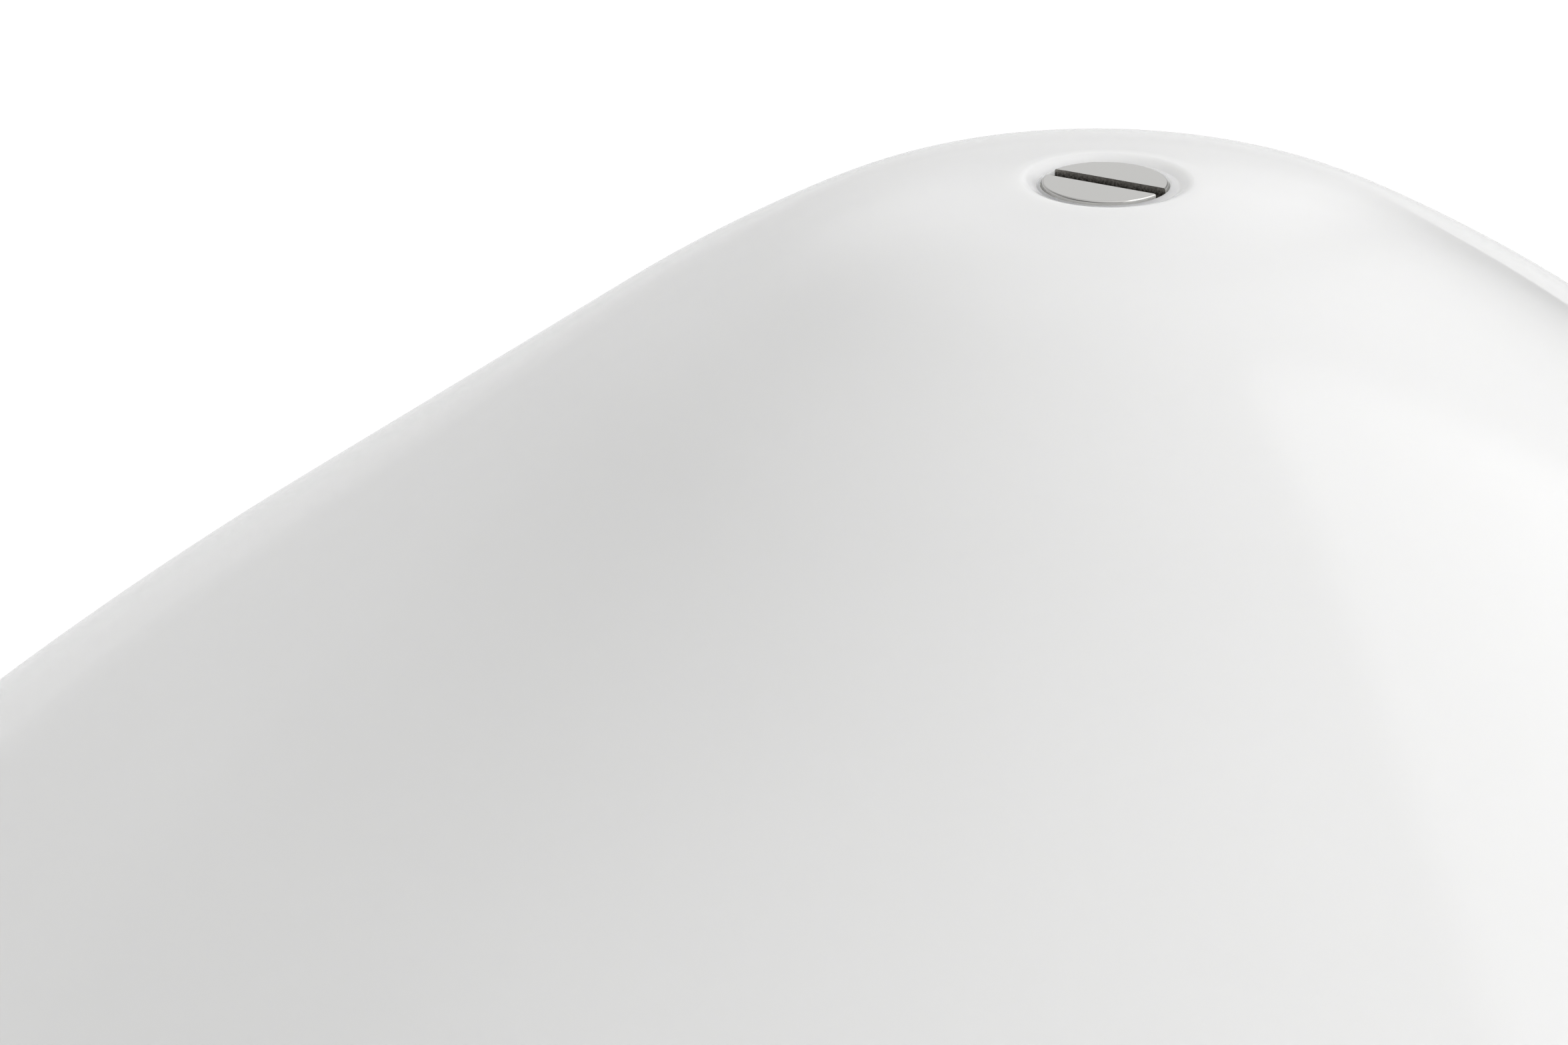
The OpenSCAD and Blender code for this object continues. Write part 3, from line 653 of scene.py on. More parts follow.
LOOKS = {
    "opal_acrylic": look((0.825, 0.825, 0.82), (0.815, 0.815, 0.81), 0.05, 0.02, 0.03,
        bump=0.002, group=SCRATCHES, fineness=700.0, amount=0.15, IOR=1.49,
        Subsurface_Weight=1.0, Subsurface_Radius=(1, 1, 0.95), Subsurface_Scale=0.006),
    "polished_chrome": look((0.62, 0.62, 0.61), (0.58, 0.58, 0.57), 0.05, 0.03, 0.05,
        bump=0.001, group=SCRATCHES, fineness=1400.0, amount=0.6, Metallic=1.0),
    "plated_steel": look((0.60, 0.61, 0.62), (0.50, 0.51, 0.52), 0.28, 0.10, 0.05,
        bump=0.004, group=SCRATCHES, fineness=900.0, amount=1.0, Metallic=1.0),
    "brass": look((0.78, 0.60, 0.28), (0.62, 0.45, 0.20), 0.25, 0.12, 0.05,
        bump=0.004, group=SCRATCHES, fineness=900.0, amount=1.0, Metallic=1.0),
    "spring_steel": look((0.42, 0.42, 0.44), (0.34, 0.34, 0.36), 0.22, 0.08,
        bump=0.003, group=SCRATCHES, fineness=2000.0, Metallic=1.0),
    "black_rubber": look((0.030, 0.030, 0.031), (0.022, 0.022, 0.023), 0.72, 0.08, 0.1,
        bump=0.03, group=GRAIN, fineness=1800.0, amount=1.0),
    "white_enamel": look((0.80, 0.80, 0.79), (0.78, 0.78, 0.77), 0.14, 0.04, 0.05,
        bump=0.006, group=GRAIN, fineness=400.0, amount=0.6, Coat_Weight=0.5,
        Coat_Roughness=0.05),
    "dark_enamel": look((0.030, 0.030, 0.032), (0.024, 0.024, 0.026), 0.45, 0.06, 0.1,
        bump=0.02, group=GRAIN, fineness=900.0, amount=1.0),
    "cast_iron": look((0.085, 0.085, 0.088), (0.055, 0.053, 0.052), 0.62, 0.10, 0.1,
        bump=0.12, group=GRAIN, fineness=500.0, amount=1.0, Metallic=0.6),
    "ivory_plastic": look((0.76, 0.73, 0.66), (0.73, 0.70, 0.62), 0.42, 0.08, 0.05,
        bump=0.012, group=GRAIN, fineness=1500.0, amount=0.8),
    "black_plastic": look((0.025, 0.025, 0.027), (0.02, 0.02, 0.021), 0.5, 0.08, 0.05,
        bump=0.012, group=GRAIN, fineness=1500.0, amount=0.8),
    "frosted_glass": look((0.93, 0.93, 0.92), (0.91, 0.91, 0.90), 0.32, 0.06, 0.05,
        bump=0.004, group=GRAIN, fineness=900.0, amount=0.8, IOR=1.5,
        Transmission_Weight=0.35, Coat_Weight=0.4, Coat_Roughness=0.08),
    "cable_jacket": look((0.74, 0.74, 0.73), (0.70, 0.70, 0.69), 0.5, 0.08, 0.08,
        bump=0.02, group=GRAIN, fineness=1600.0, amount=0.8),
}
FINISH = {slot: finish(slot, *numbers, **settings) for slot, (numbers, settings) in LOOKS.items()}
print(len(FINISH), "finishes")

# %% [markdown]
# The pieces that keep the frame's own mesh are the plain hidden ones, such as nuts and washers. They only need
# their finish: the loop gives every frame piece the finish of its slot, and the pieces made further down take
# the place of the ones that deserve more.

# %% Give every frame piece its finish
def finish_of(node):
    return FINISH[SLOT[node]]


for node, piece in frame["nodes"].items():
    piece.data.materials.clear()
    piece.data.materials.append(finish_of(node))
print("finished", len(frame["nodes"]), "frame pieces")

# %% [markdown]
# ## The shade
#
# The shade is one sheet of opal acrylic, blown and trimmed on a former. A sheet bends smoothly, so its outline
# is described by how steep it is and how fast that changes: each run below ends at a slope and has a radius, and
# a straight run has a length. Runs joined like that still jump in curvature where they meet, and a glossy
# surface would show each jump as a kink in its reflections. So the slope is averaged over a short stretch of the
# outline before the heights are added up, which is what a real sheet does by itself.

# %% The shade's outline
CROWN_RUNS = [(14.5, 152), (22.7, 64), (28.2, 82), (32.5, 340), (35.5, 240)]
FLANK = 82
SHOULDER_RUNS = [(39.8, 900), (60, 120), (86, 72)]
SKIRT = 8
WALL = 3
LIP_R = 14.3
LIP_ROUND = 2.9
BLEND = 9
STEP = 2.0
CROWN_Z = face_z + 1.2
LIP_SLOPE = math.asin(LIP_R / CROWN_RUNS[0][1])
LIP_Z = CROWN_Z - CROWN_RUNS[0][1] * (1 - math.cos(LIP_SLOPE))


def slope_table():
    """(distance along the outline, slope) where the runs meet, from the lip to the rim."""
    slope, distance = LIP_SLOPE, 0.0
    table = [(distance, slope)]
    for run in (*CROWN_RUNS, FLANK, *SHOULDER_RUNS, SKIRT):
        if isinstance(run, tuple):
            distance += (math.radians(run[0]) - slope) * run[1]
            slope = math.radians(run[0])
        else:
            distance += run
        table.append((distance, slope))
    return table


def slope_at(table, distance):
    for (a, slope_a), (b, slope_b) in zip(table, table[1:]):
        if distance <= b:
            return slope_a + (slope_b - slope_a) * max(0.0, distance - a) / (b - a)
    return table[-1][1]


def blended_slope(table, distance):
    samples = [slope_at(table, distance + BLEND * (k / 8 - 0.5)) for k in range(9)]
    return sum(samples) / len(samples)


def bell():
    """(radius, height, slope) along the outside of the shade, from the lip to the rim."""
    table = slope_table()
    length = table[-1][0]
    count = round(length / STEP)
    step = length / count
    r, z, points = LIP_R, LIP_Z, []
    for k in range(count + 1):
        points.append((r, z, blended_slope(table, k * step)))
        middle = blended_slope(table, (k + 0.5) * step)
        r += step * math.cos(middle)
        z -= step * math.sin(middle)
    return points


outside = bell()
print(f"outline: {len(outside)} points, ends at radius {outside[-1][0]:.2f}, height {outside[-1][1]:.2f}")

# %% [markdown]
# The crown turns down into the dimple over a soft lip. A narrow ledge runs round the screw's head, just under
# its face, and the head sinks into a close well with a flat floor, where it pulls. The outline goes once round
# the sheet's section: out along the top, round the rim and back along the underside.

# %% Spin the shade
BOSS_R = LIP_R + 1.5
WELL_R = 10.3
LEDGE_R = 11.3
LEDGE_Z = face_z - 0.5
HOLE_R = 4.4
RIM_ROUND = 1.2
boss_z = top("seat_gasket")

lip_middle = Vector((LIP_R - LIP_ROUND * math.sin(LIP_SLOPE), LIP_Z - LIP_ROUND * math.cos(LIP_SLOPE)))
lip = bend(lip_middle, LIP_ROUND, 120, 96.5, 12)
well = rounded([(HOLE_R, boss_z), (HOLE_R, floor_z, 0.3), (WELL_R, floor_z, 0.5), (WELL_R, LEDGE_Z, 0.12),
                (LEDGE_R, LEDGE_Z, 0.8), (*lip[0], 0)])
skin = [(r, z) for r, z, slope in outside]
lining = [(r - WALL * math.sin(slope), z - WALL * math.cos(slope)) for r, z, slope in outside[::2]]
lining = [point for point in reversed(lining) if point[0] > BOSS_R + 3.5]
rim = rounded([skin[-2], (*skin[-1], RIM_ROUND), (*lining[0], RIM_ROUND), lining[1]])
under = rounded([lining[-1], (BOSS_R + 2.5, boss_z + 2.6, 1.0), (BOSS_R, boss_z, 0.8), (HOLE_R, boss_z)])
section = well + lip[1:] + skin[:-2] + rim + lining[2:-1] + under
shade = turned("shade_bell", section, finish_of("shade"), steps=320)

# %% [markdown]
# The former pressed the dimple a little off centre, to the right and to the back, and drew the top face down
# round it. The move is full strength at the lip and fades out both towards the well, which has to stay round the
# screw, and towards the crown.

# %% Press the dimple off centre
PRESSED_OFF = Vector((0.45, 0.4, 0)) * MM
DRAWN_DOWN = Vector((0, 0, -0.4)) * MM


def climb(value, low, high):
    share = min(max((value - low) / (high - low), 0.0), 1.0)
    return share * share * (3 - 2 * share)


for vertex in shade.data.vertices:
    r = math.hypot(vertex.co.x, vertex.co.y) / MM
    if vertex.co.z > (boss_z - 1) * MM and r < 40:
        top_face = vertex.co.z / MM > CROWN_Z - r * r / (2 * CROWN_RUNS[0][1]) - 1.5
        press = PRESSED_OFF + DRAWN_DOWN if top_face else PRESSED_OFF
        vertex.co += press * climb(r, 10.4, 11.6) * (1 - climb(r, 17, 36))
keep(shade, "shade")

# %% [markdown]
# ## Cutting and softening
#
# Some shapes are easiest to make as they are made on a bench: start from a turned blank, saw or drill it, then
# break the sharp edges. `cut` is a Boolean modifier, `softened` a Bevel modifier that works on sharp edges only,
# and `flat_faces` first merges a blank's coplanar faces, so that both have clean faces to work on. After a bevel
# the big faces would shade as if they were slightly round, so their edges are marked sharp.

# %% Bench tools
FLATNESS = 0.3  # degrees between faces that count as one flat face
BIG_FACE = 4.0  # square millimetres, from which a face is kept flat


def blank_object(name, shell):
    mesh = bpy.data.meshes.new(name)
    mesh.materials.append(bpy.data.materials[0])
    shell.to_mesh(mesh)
    shell.free()
    return new_object(name, mesh)


def block(low, high, turn=0.0, at=(0, 0)):
    """A box between two corners, turned about the upright axis at a place in plan; in millimetres."""
    shell = bmesh.new()
    bmesh.ops.create_cube(shell, size=1)
    size = Vector(high) - Vector(low)
    middle = (Vector(high) + Vector(low)) / 2
    place = Matrix.Translation((*at, 0)) @ Matrix.Rotation(math.radians(turn), 4, "Z")
    shape = Matrix.Translation(middle) @ Matrix.Diagonal((*size, 1))
    bmesh.ops.transform(shell, matrix=Matrix.Scale(MM, 4) @ place @ shape, verts=shell.verts)
    return blank_object("block", shell)


def flat_faces(piece):
    shell = bmesh.new()
    shell.from_mesh(piece.data)
    bmesh.ops.remove_doubles(shell, verts=shell.verts, dist=1e-6)
    bmesh.ops.dissolve_limit(shell, angle_limit=math.radians(FLATNESS), verts=shell.verts, edges=shell.edges)
    shell.to_mesh(piece.data)
    shell.free()
    return piece


def cut(piece, *cutters, operation="DIFFERENCE"):
    """Take the cutters away from the piece; they are used up."""
    for cutter in cutters:
        modifier = piece.modifiers.new("cut", "BOOLEAN")
        modifier.operation = operation
        modifier.object = cutter
        modifier.solver = "EXACT"
        piece = settled(piece, piece.name)
        bpy.data.objects.remove(cutter)
    return piece


def softened(piece, width, steps=2, limit=30.0):
    """Bevel the sharp edges by width millimetres and keep the big faces flat."""
    modifier = piece.modifiers.new("edges", "BEVEL")
    modifier.width = width * MM
    modifier.segments = steps
    modifier.limit_method = "ANGLE"
    modifier.angle_limit = math.radians(limit)
    piece = settled(piece, piece.name)
    shell = bmesh.new()
    shell.from_mesh(piece.data)
    for face in shell.faces:
        face.smooth = True
    for face in shell.faces:
        if face.calc_area() > BIG_FACE * MM * MM:
            for edge in face.edges:
                bevelled = any(other.calc_area() < BIG_FACE * MM * MM for other in edge.link_faces)
                edge.smooth = edge.calc_face_angle(0.0) < math.radians(1.0 if bevelled else 20.0)
    shell.to_mesh(piece.data)
    shell.free()
    return piece


print("bench tools: block, flat_faces, cut, softened")

# %% [markdown]
# ## The retaining screw
#
# This is the piece that catches the eye: a flat, polished chrome head with a coin slot, in the middle of the
# dimple. The face and the side are bright, but the sawn floor of the slot is not polished, so it is rougher and
# less metallic; its colour is also darkened with depth towards the floor, as painted shade in the slot. One
# material does both. A mask on height tells the slot from the face, and mottles it with noise.

# %% The screw's chrome
SLOT_WIDTH = 3.2
SLOT_DEPTH = 1.3
SLOT_TURN = -27.5
HEAD_R = 10
HEAD_FOOT = floor_z + 0.4
THREAD_TOP = HEAD_FOOT - 6.5


def slotted_chrome():
    material = finish("slotted_chrome", (0.545, 0.54, 0.525), (0.52, 0.515, 0.50), 0.045, 0.03, 0.04, bump=0.001,
                      group=SCRATCHES, fineness=1400.0, amount=0.6, Metallic=1.0)
    tree = material.node_tree
    shader = tree.nodes["Principled BSDF"]
    place = add(tree, "ShaderNodeTexCoord").outputs["Object"]
    x, y, z = (Wire(tree, out) for out in add(tree, "ShaderNodeSeparateXYZ", {"Vector": place}).outputs)
    across = (x * math.sin(math.radians(SLOT_TURN)) - y * math.cos(math.radians(SLOT_TURN))).work("ABSOLUTE")
    in_slot = Wire(tree, remap(tree, plain(z), (face_z - 0.03) * MM, (face_z - 0.1) * MM))
    in_slot = in_slot * across.work("LESS_THAN", SLOT_WIDTH / 2 * MM + 2e-5) * z.work(
        "GREATER_THAN", (face_z - SLOT_DEPTH - 0.1) * MM)
    mottle = Wire(tree, remap(tree, noise(tree, 2800.0, 3.0), 0.3, 0.7))
    # The slot's colour darkens with depth, from grey near the face to nearly black at the floor: painted shade in
    # the slot, mottled with noise. The rise in roughness and drop in metallic there are the unpolished metal.
    deep = (face_z * MM - z) * (1 / (SLOT_DEPTH * MM))
    slot_depth_shade = smallest(largest(deep * 1.1 + (mottle - 0.5) * 0.7, 0.0), 1.0)
    bright = shader.inputs["Base Color"].links[0].from_socket
    smooth = shader.inputs["Roughness"].links[0].from_socket
    shaded_slot_colour = add(tree, "ShaderNodeMix", {
        "Factor": plain(slot_depth_shade), 6: (0.42, 0.40, 0.37, 1), 7: (0.05, 0.046, 0.04, 1)}, data_type="RGBA")
    colour = add(tree, "ShaderNodeMix", {
        "Factor": plain(in_slot), 6: bright, 7: shaded_slot_colour.outputs[2]}, data_type="RGBA")
    tree.links.new(colour.outputs[2], shader.inputs["Base Color"])
    rough = Wire(tree, smooth) + in_slot * (mottle * 0.15 + 0.3)
    tree.links.new(plain(rough), shader.inputs["Roughness"])
    tree.links.new(plain(1.0 - in_slot * 0.7), shader.inputs["Metallic"])
    return material


SLOTTED_CHROME = slotted_chrome()
print("the screw's chrome:", len(SLOTTED_CHROME.node_tree.nodes), "nodes")

# %% [markdown]
# The head is turned, its slot is sawn with a block, and the edges are broken. Below it the shank is plain for a
# few millimetres and then carries an M8 thread, which goes down into the seat.

# %% Turn, saw and thread the screw
head = turned("screw_head", rounded([
    (0, face_z), (HEAD_R, face_z, 0.3), (HEAD_R, HEAD_FOOT, 0.2), (0, HEAD_FOOT)], steps=5),
    SLOTTED_CHROME, steps=160)
saw = block((-2 * HEAD_R, -SLOT_WIDTH / 2, face_z - SLOT_DEPTH), (2 * HEAD_R, SLOT_WIDTH / 2, face_z + 1),
            turn=SLOT_TURN)
head = softened(cut(flat_faces(head), saw), 0.09)
shank = turned("screw_shank", [(0, HEAD_FOOT + 0.3), (4, HEAD_FOOT + 0.3), (4, THREAD_TOP + 0.6),
                               (3.4, THREAD_TOP), (0, THREAD_TOP)], SLOTTED_CHROME, steps=64)
thread = threaded("screw_thread", SLOTTED_CHROME, 4, foot("retaining_screw"), THREAD_TOP + 0.3, 1.25, 0.65)
keep(joined("slotted_screw", [head, shank, thread]), "retaining_screw")

# %% [markdown]
# ## More bench tools
#
# The rest of the lamp is mostly bar, tube, nuts and sheet. `ring_outline` is the section of a plain ring with
# broken edges, `bar` a round rod between two points for drilling holes, `prism` a hexagon for nuts and key
# sockets, and `copies_of` repeats a piece round the stem. A piece whose frame mesh already has the right shape is
# copied by `from_frame`, which only breaks its edges. `spun` turns a piece and keeps it at once, and `ring_of` is
# the section of a ring that is as high as its node.

# %% Rings, bars, prisms and copies
def ring_outline(outer, inner, low, high, edge=0.3):
    return rounded([(inner, low, edge), (outer, low, edge), (outer, high, edge), (inner, high, edge)],
                   closed=True, steps=3)


def bar(start, end, radius, sides=48):
    shell = bmesh.new()
    way = Vector(end) - Vector(start)
    bmesh.ops.create_cone(shell, cap_ends=True, segments=sides, radius1=radius, radius2=radius, depth=way.length)
    middle = (Vector(start) + Vector(end)) / 2
    place = Matrix.Translation(middle) @ way.to_track_quat("Z", "Y").to_matrix().to_4x4()
    bmesh.ops.transform(shell, matrix=Matrix.Scale(MM, 4) @ place, verts=shell.verts)
    return blank_object("bar", shell)


def prism(flats, low, high, at=(0, 0)):
    return bar((at[0], at[1], low), (at[0], at[1], high), flats / math.sqrt(3), sides=6)


def moved(piece, place):
    """The piece with its mesh put in another place; the matrix is in millimetres."""
    piece.data.transform(Matrix.Scale(MM, 4) @ place @ Matrix.Scale(1 / MM, 4))
    return piece


def copies_of(name, piece, copies, about=(0, 0)):
    """Copies at equal angles round an upright axis, as one piece."""
    offset = Vector((about[0], about[1], 0))
    moved(piece, Matrix.Translation(-offset))
    material = piece.data.materials[0]
    whole = made_by(RING, name, piece.data.copy(), {"Copies": copies, "Material": material})
    bpy.data.objects.remove(piece)
    return moved(whole, Matrix.Translation(offset))


def from_frame(node, edge, name=None):
    blank = new_object(name or node + "_finished", frame["nodes"][node].data.copy())
    return keep(softened(flat_faces(blank), edge), node)


def spun(node, name, outline, steps=96, at=(0, 0)):
    """Turn an outline and keep the piece for one node."""
    return keep(turned(name, outline, finish_of(node), steps, at), node)


def ring_of(node, outer, inner, edge):
    """The section of a plain ring as high as the node."""
    return ring_outline(outer, inner, foot(node), top(node), edge)


def three(stem):
    return [f"{stem}_{k}" for k in (1, 2, 3)]


print("more tools: ring_outline, bar, prism, moved, copies_of, from_frame, spun, ring_of, three")

# %% [markdown]
# ## What the shade sits on
#
# Under the dimple a rubber gasket lies on a turned seat, which plugs into the stem and takes the screw. A thin
# washer under the screw's head spreads the pull on the acrylic. All are plain turned rings, so the lathe makes
# them from a section.

# %% Washer, gasket and seat
spun("head_washer", "head_washer_ring", ring_of("head_washer", 9, 4.05, 0.1), 128)
spun("seat_gasket", "rubber_gasket", ring_of("seat_gasket", 13.5, 4.6, 0.5), 128)
seat_z, plug_z = top("shade_seat"), foot("shade_seat")
spun("shade_seat", "turned_seat", rounded([
    (4.05, plug_z, 0.5), (9.47, plug_z, 0.8), (9.47, seat_z - 4, 0), (18, seat_z - 4, 0.6), (18, seat_z, 0.6),
    (4.05, seat_z, 0.5)], closed=True), 128)

# %% [markdown]
# ## The stem
#
# The stem is a drawn chrome tube. Three cross holes let the lampholders' leads in, and a rubber bush in each
# keeps its edge off the lead. At the foot the tube stands in a spun collar whose side sweeps in to the tube, and
# inside are a plug and the threaded nipple that clamps the whole stem to the base.

# %% Tube, bushes, collar, plug and nipple
LEAD_Z = centre("lead_grommets").z
LEAD_R = 2.4
BUSH_END = 1.4

tube = turned("chrome_stem", ring_of("stem_tube", 11, 9.5, 0.25), finish_of("stem_tube"), 160)
drills = copies_of("drills", bar((0, 5, LEAD_Z), (0, 16, LEAD_Z), 3.2), 3)
keep(softened(cut(tube, drills), 0.12, limit=40), "stem_tube")

bush = turned("bush", rounded([
    (2.45, -1.9, 0.2), (3.15, -1.9, 0.2), (3.15, 0, 0), (4.0, 0, 0.2), (4.0, BUSH_END, 0.5),
    (2.45, BUSH_END, 0.2)],
    closed=True), finish_of("lead_grommets"), 48)
moved(bush, Matrix.Translation((0, 11.02, LEAD_Z)) @ Matrix.Rotation(-math.pi / 2, 4, "X"))
keep(copies_of("lead_bushes", bush, 3), "lead_grommets")

collar_z = foot("stem_collar")
spun("stem_collar", "spun_collar", rounded(
    [(5.03, collar_z), (20, collar_z, 0.2), (20, collar_z + 2.2, 0.7)]
    + bend((17.5, collar_z + 7.2), 5, 270, 180, 10)
    + [(12.5, collar_z + 8, 0.3), (5.03, collar_z + 8), (5.03, collar_z)]), 160)
spun("stem_plug", "stem_foot_plug", ring_of("stem_plug", 9.47, 5.03, 0.4))
keep(threaded("stem_nipple_thread", finish_of("stem_nipple"), 5, foot("stem_nipple"), top("stem_nipple"),
              1.0, 0.6, bore=3.5), "stem_nipple")

# %% [markdown]
# ## The plate that carries the bulbs
#
# A three-armed plate of enamelled sheet is held on the stem by a collar with a set screw. Each arm carries a
# lampholder on a threaded brass nipple with a nut under it. A nut is a hexagon whose corners are turned away, so
# it is made just like that: a prism and a turned shape, keeping only what both have in common.

# %% Plate, collar, set screw, nipples and nuts
HOLDER_AT = (0, centre("holder_base_1").y)
plate_z = foot("holder_plate")
COLLAR_ANGLE = 30
set_screw_z = plate_z - 7
screw_turned = Matrix.Rotation(math.radians(COLLAR_ANGLE), 4, "Z") \
    @ Matrix.Translation((11.05, 0, set_screw_z)) @ Matrix.Rotation(math.pi / 2, 4, "Y")


def hex_nut(name, flats, bore, low, high, material, at=(0, 0)):
    corner = flats / math.sqrt(3)
    drop = (corner - flats / 2) * 0.6
    nut = turned(name, [(bore, low), (flats / 2, low), (corner + 0.05, low + drop), (corner + 0.05, high - drop),
                        (flats / 2, high), (bore, high), (bore, low)], material, 96, at)
    return softened(cut(nut, prism(flats, low - 1, high + 1, at), operation="INTERSECT"), 0.08)


from_frame("holder_plate", 0.5, "three_armed_plate")
collar = turned("set_collar", ring_of("plate_collar", 17, 11.03, 0.6), finish_of("plate_collar"), 128)
drill = bar((*spoke(9, COLLAR_ANGLE), set_screw_z), (*spoke(19, COLLAR_ANGLE), set_screw_z), 2.03)
keep(softened(cut(collar, drill), 0.15, limit=40), "plate_collar")
set_screw = cut(threaded("set_screw", finish_of("collar_screw"), 2, 0, 6, 0.7, 0.38, steps=48), prism(2.0, 4, 7))
keep(moved(set_screw, screw_turned), "collar_screw")

nipple = threaded("nipple", finish_of("holder_nipples"), 5, foot("holder_nipples"), top("holder_nipples"),
                  1.0, 0.6, bore=3.0, at=HOLDER_AT, steps=48)
keep(copies_of("lampholder_nipples", nipple, 3), "holder_nipples")
nut = hex_nut("nut", 14, 5.03, foot("nipple_nuts"), top("nipple_nuts"), finish_of("nipple_nuts"), HOLDER_AT)
keep(copies_of("lampholder_nuts", nut, 3), "nipple_nuts")

# %% [markdown]
# ## Lampholders
#
# Each lampholder is moulded in two parts, a plain base and a ribbed sleeve that is easy to grip, with a rolled
# brass thread inside and a sprung contact at the bottom. The sleeve's grooves are twelve rods set round it and
# cut away. One lampholder is made at the back arm and then copied to the other two.

# %% Bases, sleeves, threads and contacts
base_z, sleeve_z = foot("holder_base_1"), foot("holder_sleeve_1")
holder = turned("lampholder_base", rounded([
    (5.03, base_z, 0.3), (13.5, base_z, 1.8), (13.5, sleeve_z, 0.4), (8.4, sleeve_z), (8.4, sleeve_z + 2, 0.3),
    (0, sleeve_z + 2), (0, sleeve_z - 1), (3.0, sleeve_z - 1), (3.0, base_z + 9), (5.03, base_z + 9),
    (5.03, base_z + 0.4)]), finish_of("holder_base_1"), 96, HOLDER_AT)
keep(copies_of("lampholder_bases", holder, 3), *three("holder_base"))

sleeve = turned("lampholder_sleeve", rounded([
    (9, sleeve_z, 0.3), (12.8, sleeve_z, 0.4), (12.8, top("holder_sleeve_1"), 1.2),
    (9, top("holder_sleeve_1"), 0.6)], closed=True), finish_of("holder_sleeve_1"), 144, HOLDER_AT)
rod = bar((13.4, HOLDER_AT[1], sleeve_z + 2), (13.4, HOLDER_AT[1], sleeve_z + 18), 1.1, 24)
sleeve = softened(cut(sleeve, copies_of("rods", rod, 12, HOLDER_AT)), 0.25, limit=35)
keep(copies_of("lampholder_sleeves", sleeve, 3), *three("holder_sleeve"))

shell_thread = threaded("lampholder_thread", finish_of("holder_thread_1"), 8, foot("holder_thread_1"),
                        top("holder_thread_1"), 2.82, 0.4, bore=7.05, roundness=1.0, at=HOLDER_AT)
keep(copies_of("lampholder_threads", shell_thread, 3), *three("holder_thread"))
for node in three("holder_contact"):
    from_frame(node, 0.15)

# %% [markdown]
# ## Bulbs
#
# The bulbs are small frosted balls. Their glass swells out of the neck through a soft fillet, which is how blown
# glass leaves its mould, and the wall is under a millimetre thick. The cap is rolled sheet with a soft round
# thread, and the contact at its foot is a drop of solder on a dark insulator.

# %% One bulb, three times
BALL_R = reach("bulb_glass_1")
NECK_R = 6.2
FILLET = 5.0
GLASS = 0.8


def ball_outline(radius, neck, fillet, low, middle):
    """From the neck's end, through the fillet, over the ball to its pole."""
    across = neck + fillet
    down = math.sqrt((radius + fillet) ** 2 - across ** 2)
    bend = math.atan2(down, across)
    fillet_arc = [(across - fillet * math.cos(a), middle - down + fillet * math.sin(a))
                  for a in (bend * k / 6 for k in range(7))]
    ball = [(radius * math.cos(a), middle + radius * math.sin(a))
            for a in (-bend + (bend + math.pi / 2) * k / 40 for k in range(1, 41))]
    return [(neck, low)] + fillet_arc + ball


for k in (1, 2, 3):
    at = tuple(centre(f"bulb_glass_{k}"))[:2]
    low, cap_low, cap_top = foot(f"bulb_glass_{k}"), foot(f"bulb_cap_{k}"), top(f"bulb_cap_{k}")
    middle = top(f"bulb_glass_{k}") - BALL_R
    outer = ball_outline(BALL_R, NECK_R, FILLET, low + 1, middle)
    inner = ball_outline(BALL_R - GLASS, NECK_R - GLASS, FILLET + GLASS, low + 1, middle)
    spun(f"bulb_glass_{k}", f"bulb_{k}_ball", outer + inner[::-1] + outer[:1], 96, at)
    foot_ring = turned("foot_ring", rounded([
        (3, cap_low, 0.1), (5.9, cap_low, 0.5), (6.8, cap_low + 2.2, 0), (6.3, cap_low + 2.2, 0),
        (3, cap_low + 0.5, 0.1)], closed=True), finish_of("bulb_cap_1"), 64, at)
    cap_thread = threaded("cap_thread", finish_of("bulb_cap_1"), 6.95, cap_low + 2, cap_top, 2.82, 0.46, bore=6.3,
                          roundness=1.0, at=at)
    keep(joined(f"bulb_{k}_screw_cap", [foot_ring, cap_thread]), f"bulb_cap_{k}")
    tip_low = foot(f"bulb_tip_{k}")
    spun(f"bulb_tip_{k}", f"bulb_{k}_foot_contact", [
        (0, tip_low), (1.2, tip_low + 0.06), (1.9, tip_low + 0.35), (2.3, tip_low + 0.8), (3.2, tip_low + 1.0),
        (4.2, cap_low), (0, cap_low)], 48, at)

# %% [markdown]
# ## Leads and cables
#
# Each lampholder's lead drops through its nipple, turns in to the stem and drops again into the splice. A lead
# can't turn sharply, so its route is two quarter bends with short straight ends. The stem's own cable runs from
# the splice down through the nipple, and then along the base to the terminal block.

# %% Sweep the leads and cables
SPLICE_TOP = top("splice_cap")
CABLE_LEVEL = 10

lead_bends = bend((HOLDER_AT[1] - 10, LEAD_Z + 10), 10, 0, -90, 8) + bend((9, LEAD_Z - 5), 5, 90, 180, 6)
lead_route = [(0, y, z) for y, z in [(HOLDER_AT[1], plate_z + 12)] + lead_bends + [(4, SPLICE_TOP)]]
lead = swept("lead", lead_route, LEAD_R, finish_of("holder_leads"))
keep(copies_of("lampholder_leads", lead, 3), "holder_leads")

splice_low = foot("splice_cap")
spun("splice_cap", "splice_cap_moulded", rounded([
    (0, splice_low), (7.4, splice_low, 1.5), (8.4, splice_low + 8, 0.5), (8.4, SPLICE_TOP, 0.8),
    (0, SPLICE_TOP)]), 64)
down = [(0, splice_low), (0, 160), (0, 60), (0, 20)] + bend((5, 13), 5, 180, 270, 6)
down += [(14, 8), (22, 8), (30, CABLE_LEVEL), (38, CABLE_LEVEL)]
keep(swept("stem_cable_run", [(0, y, z) for y, z in down], 2.5, finish_of("stem_cable")), "stem_cable")

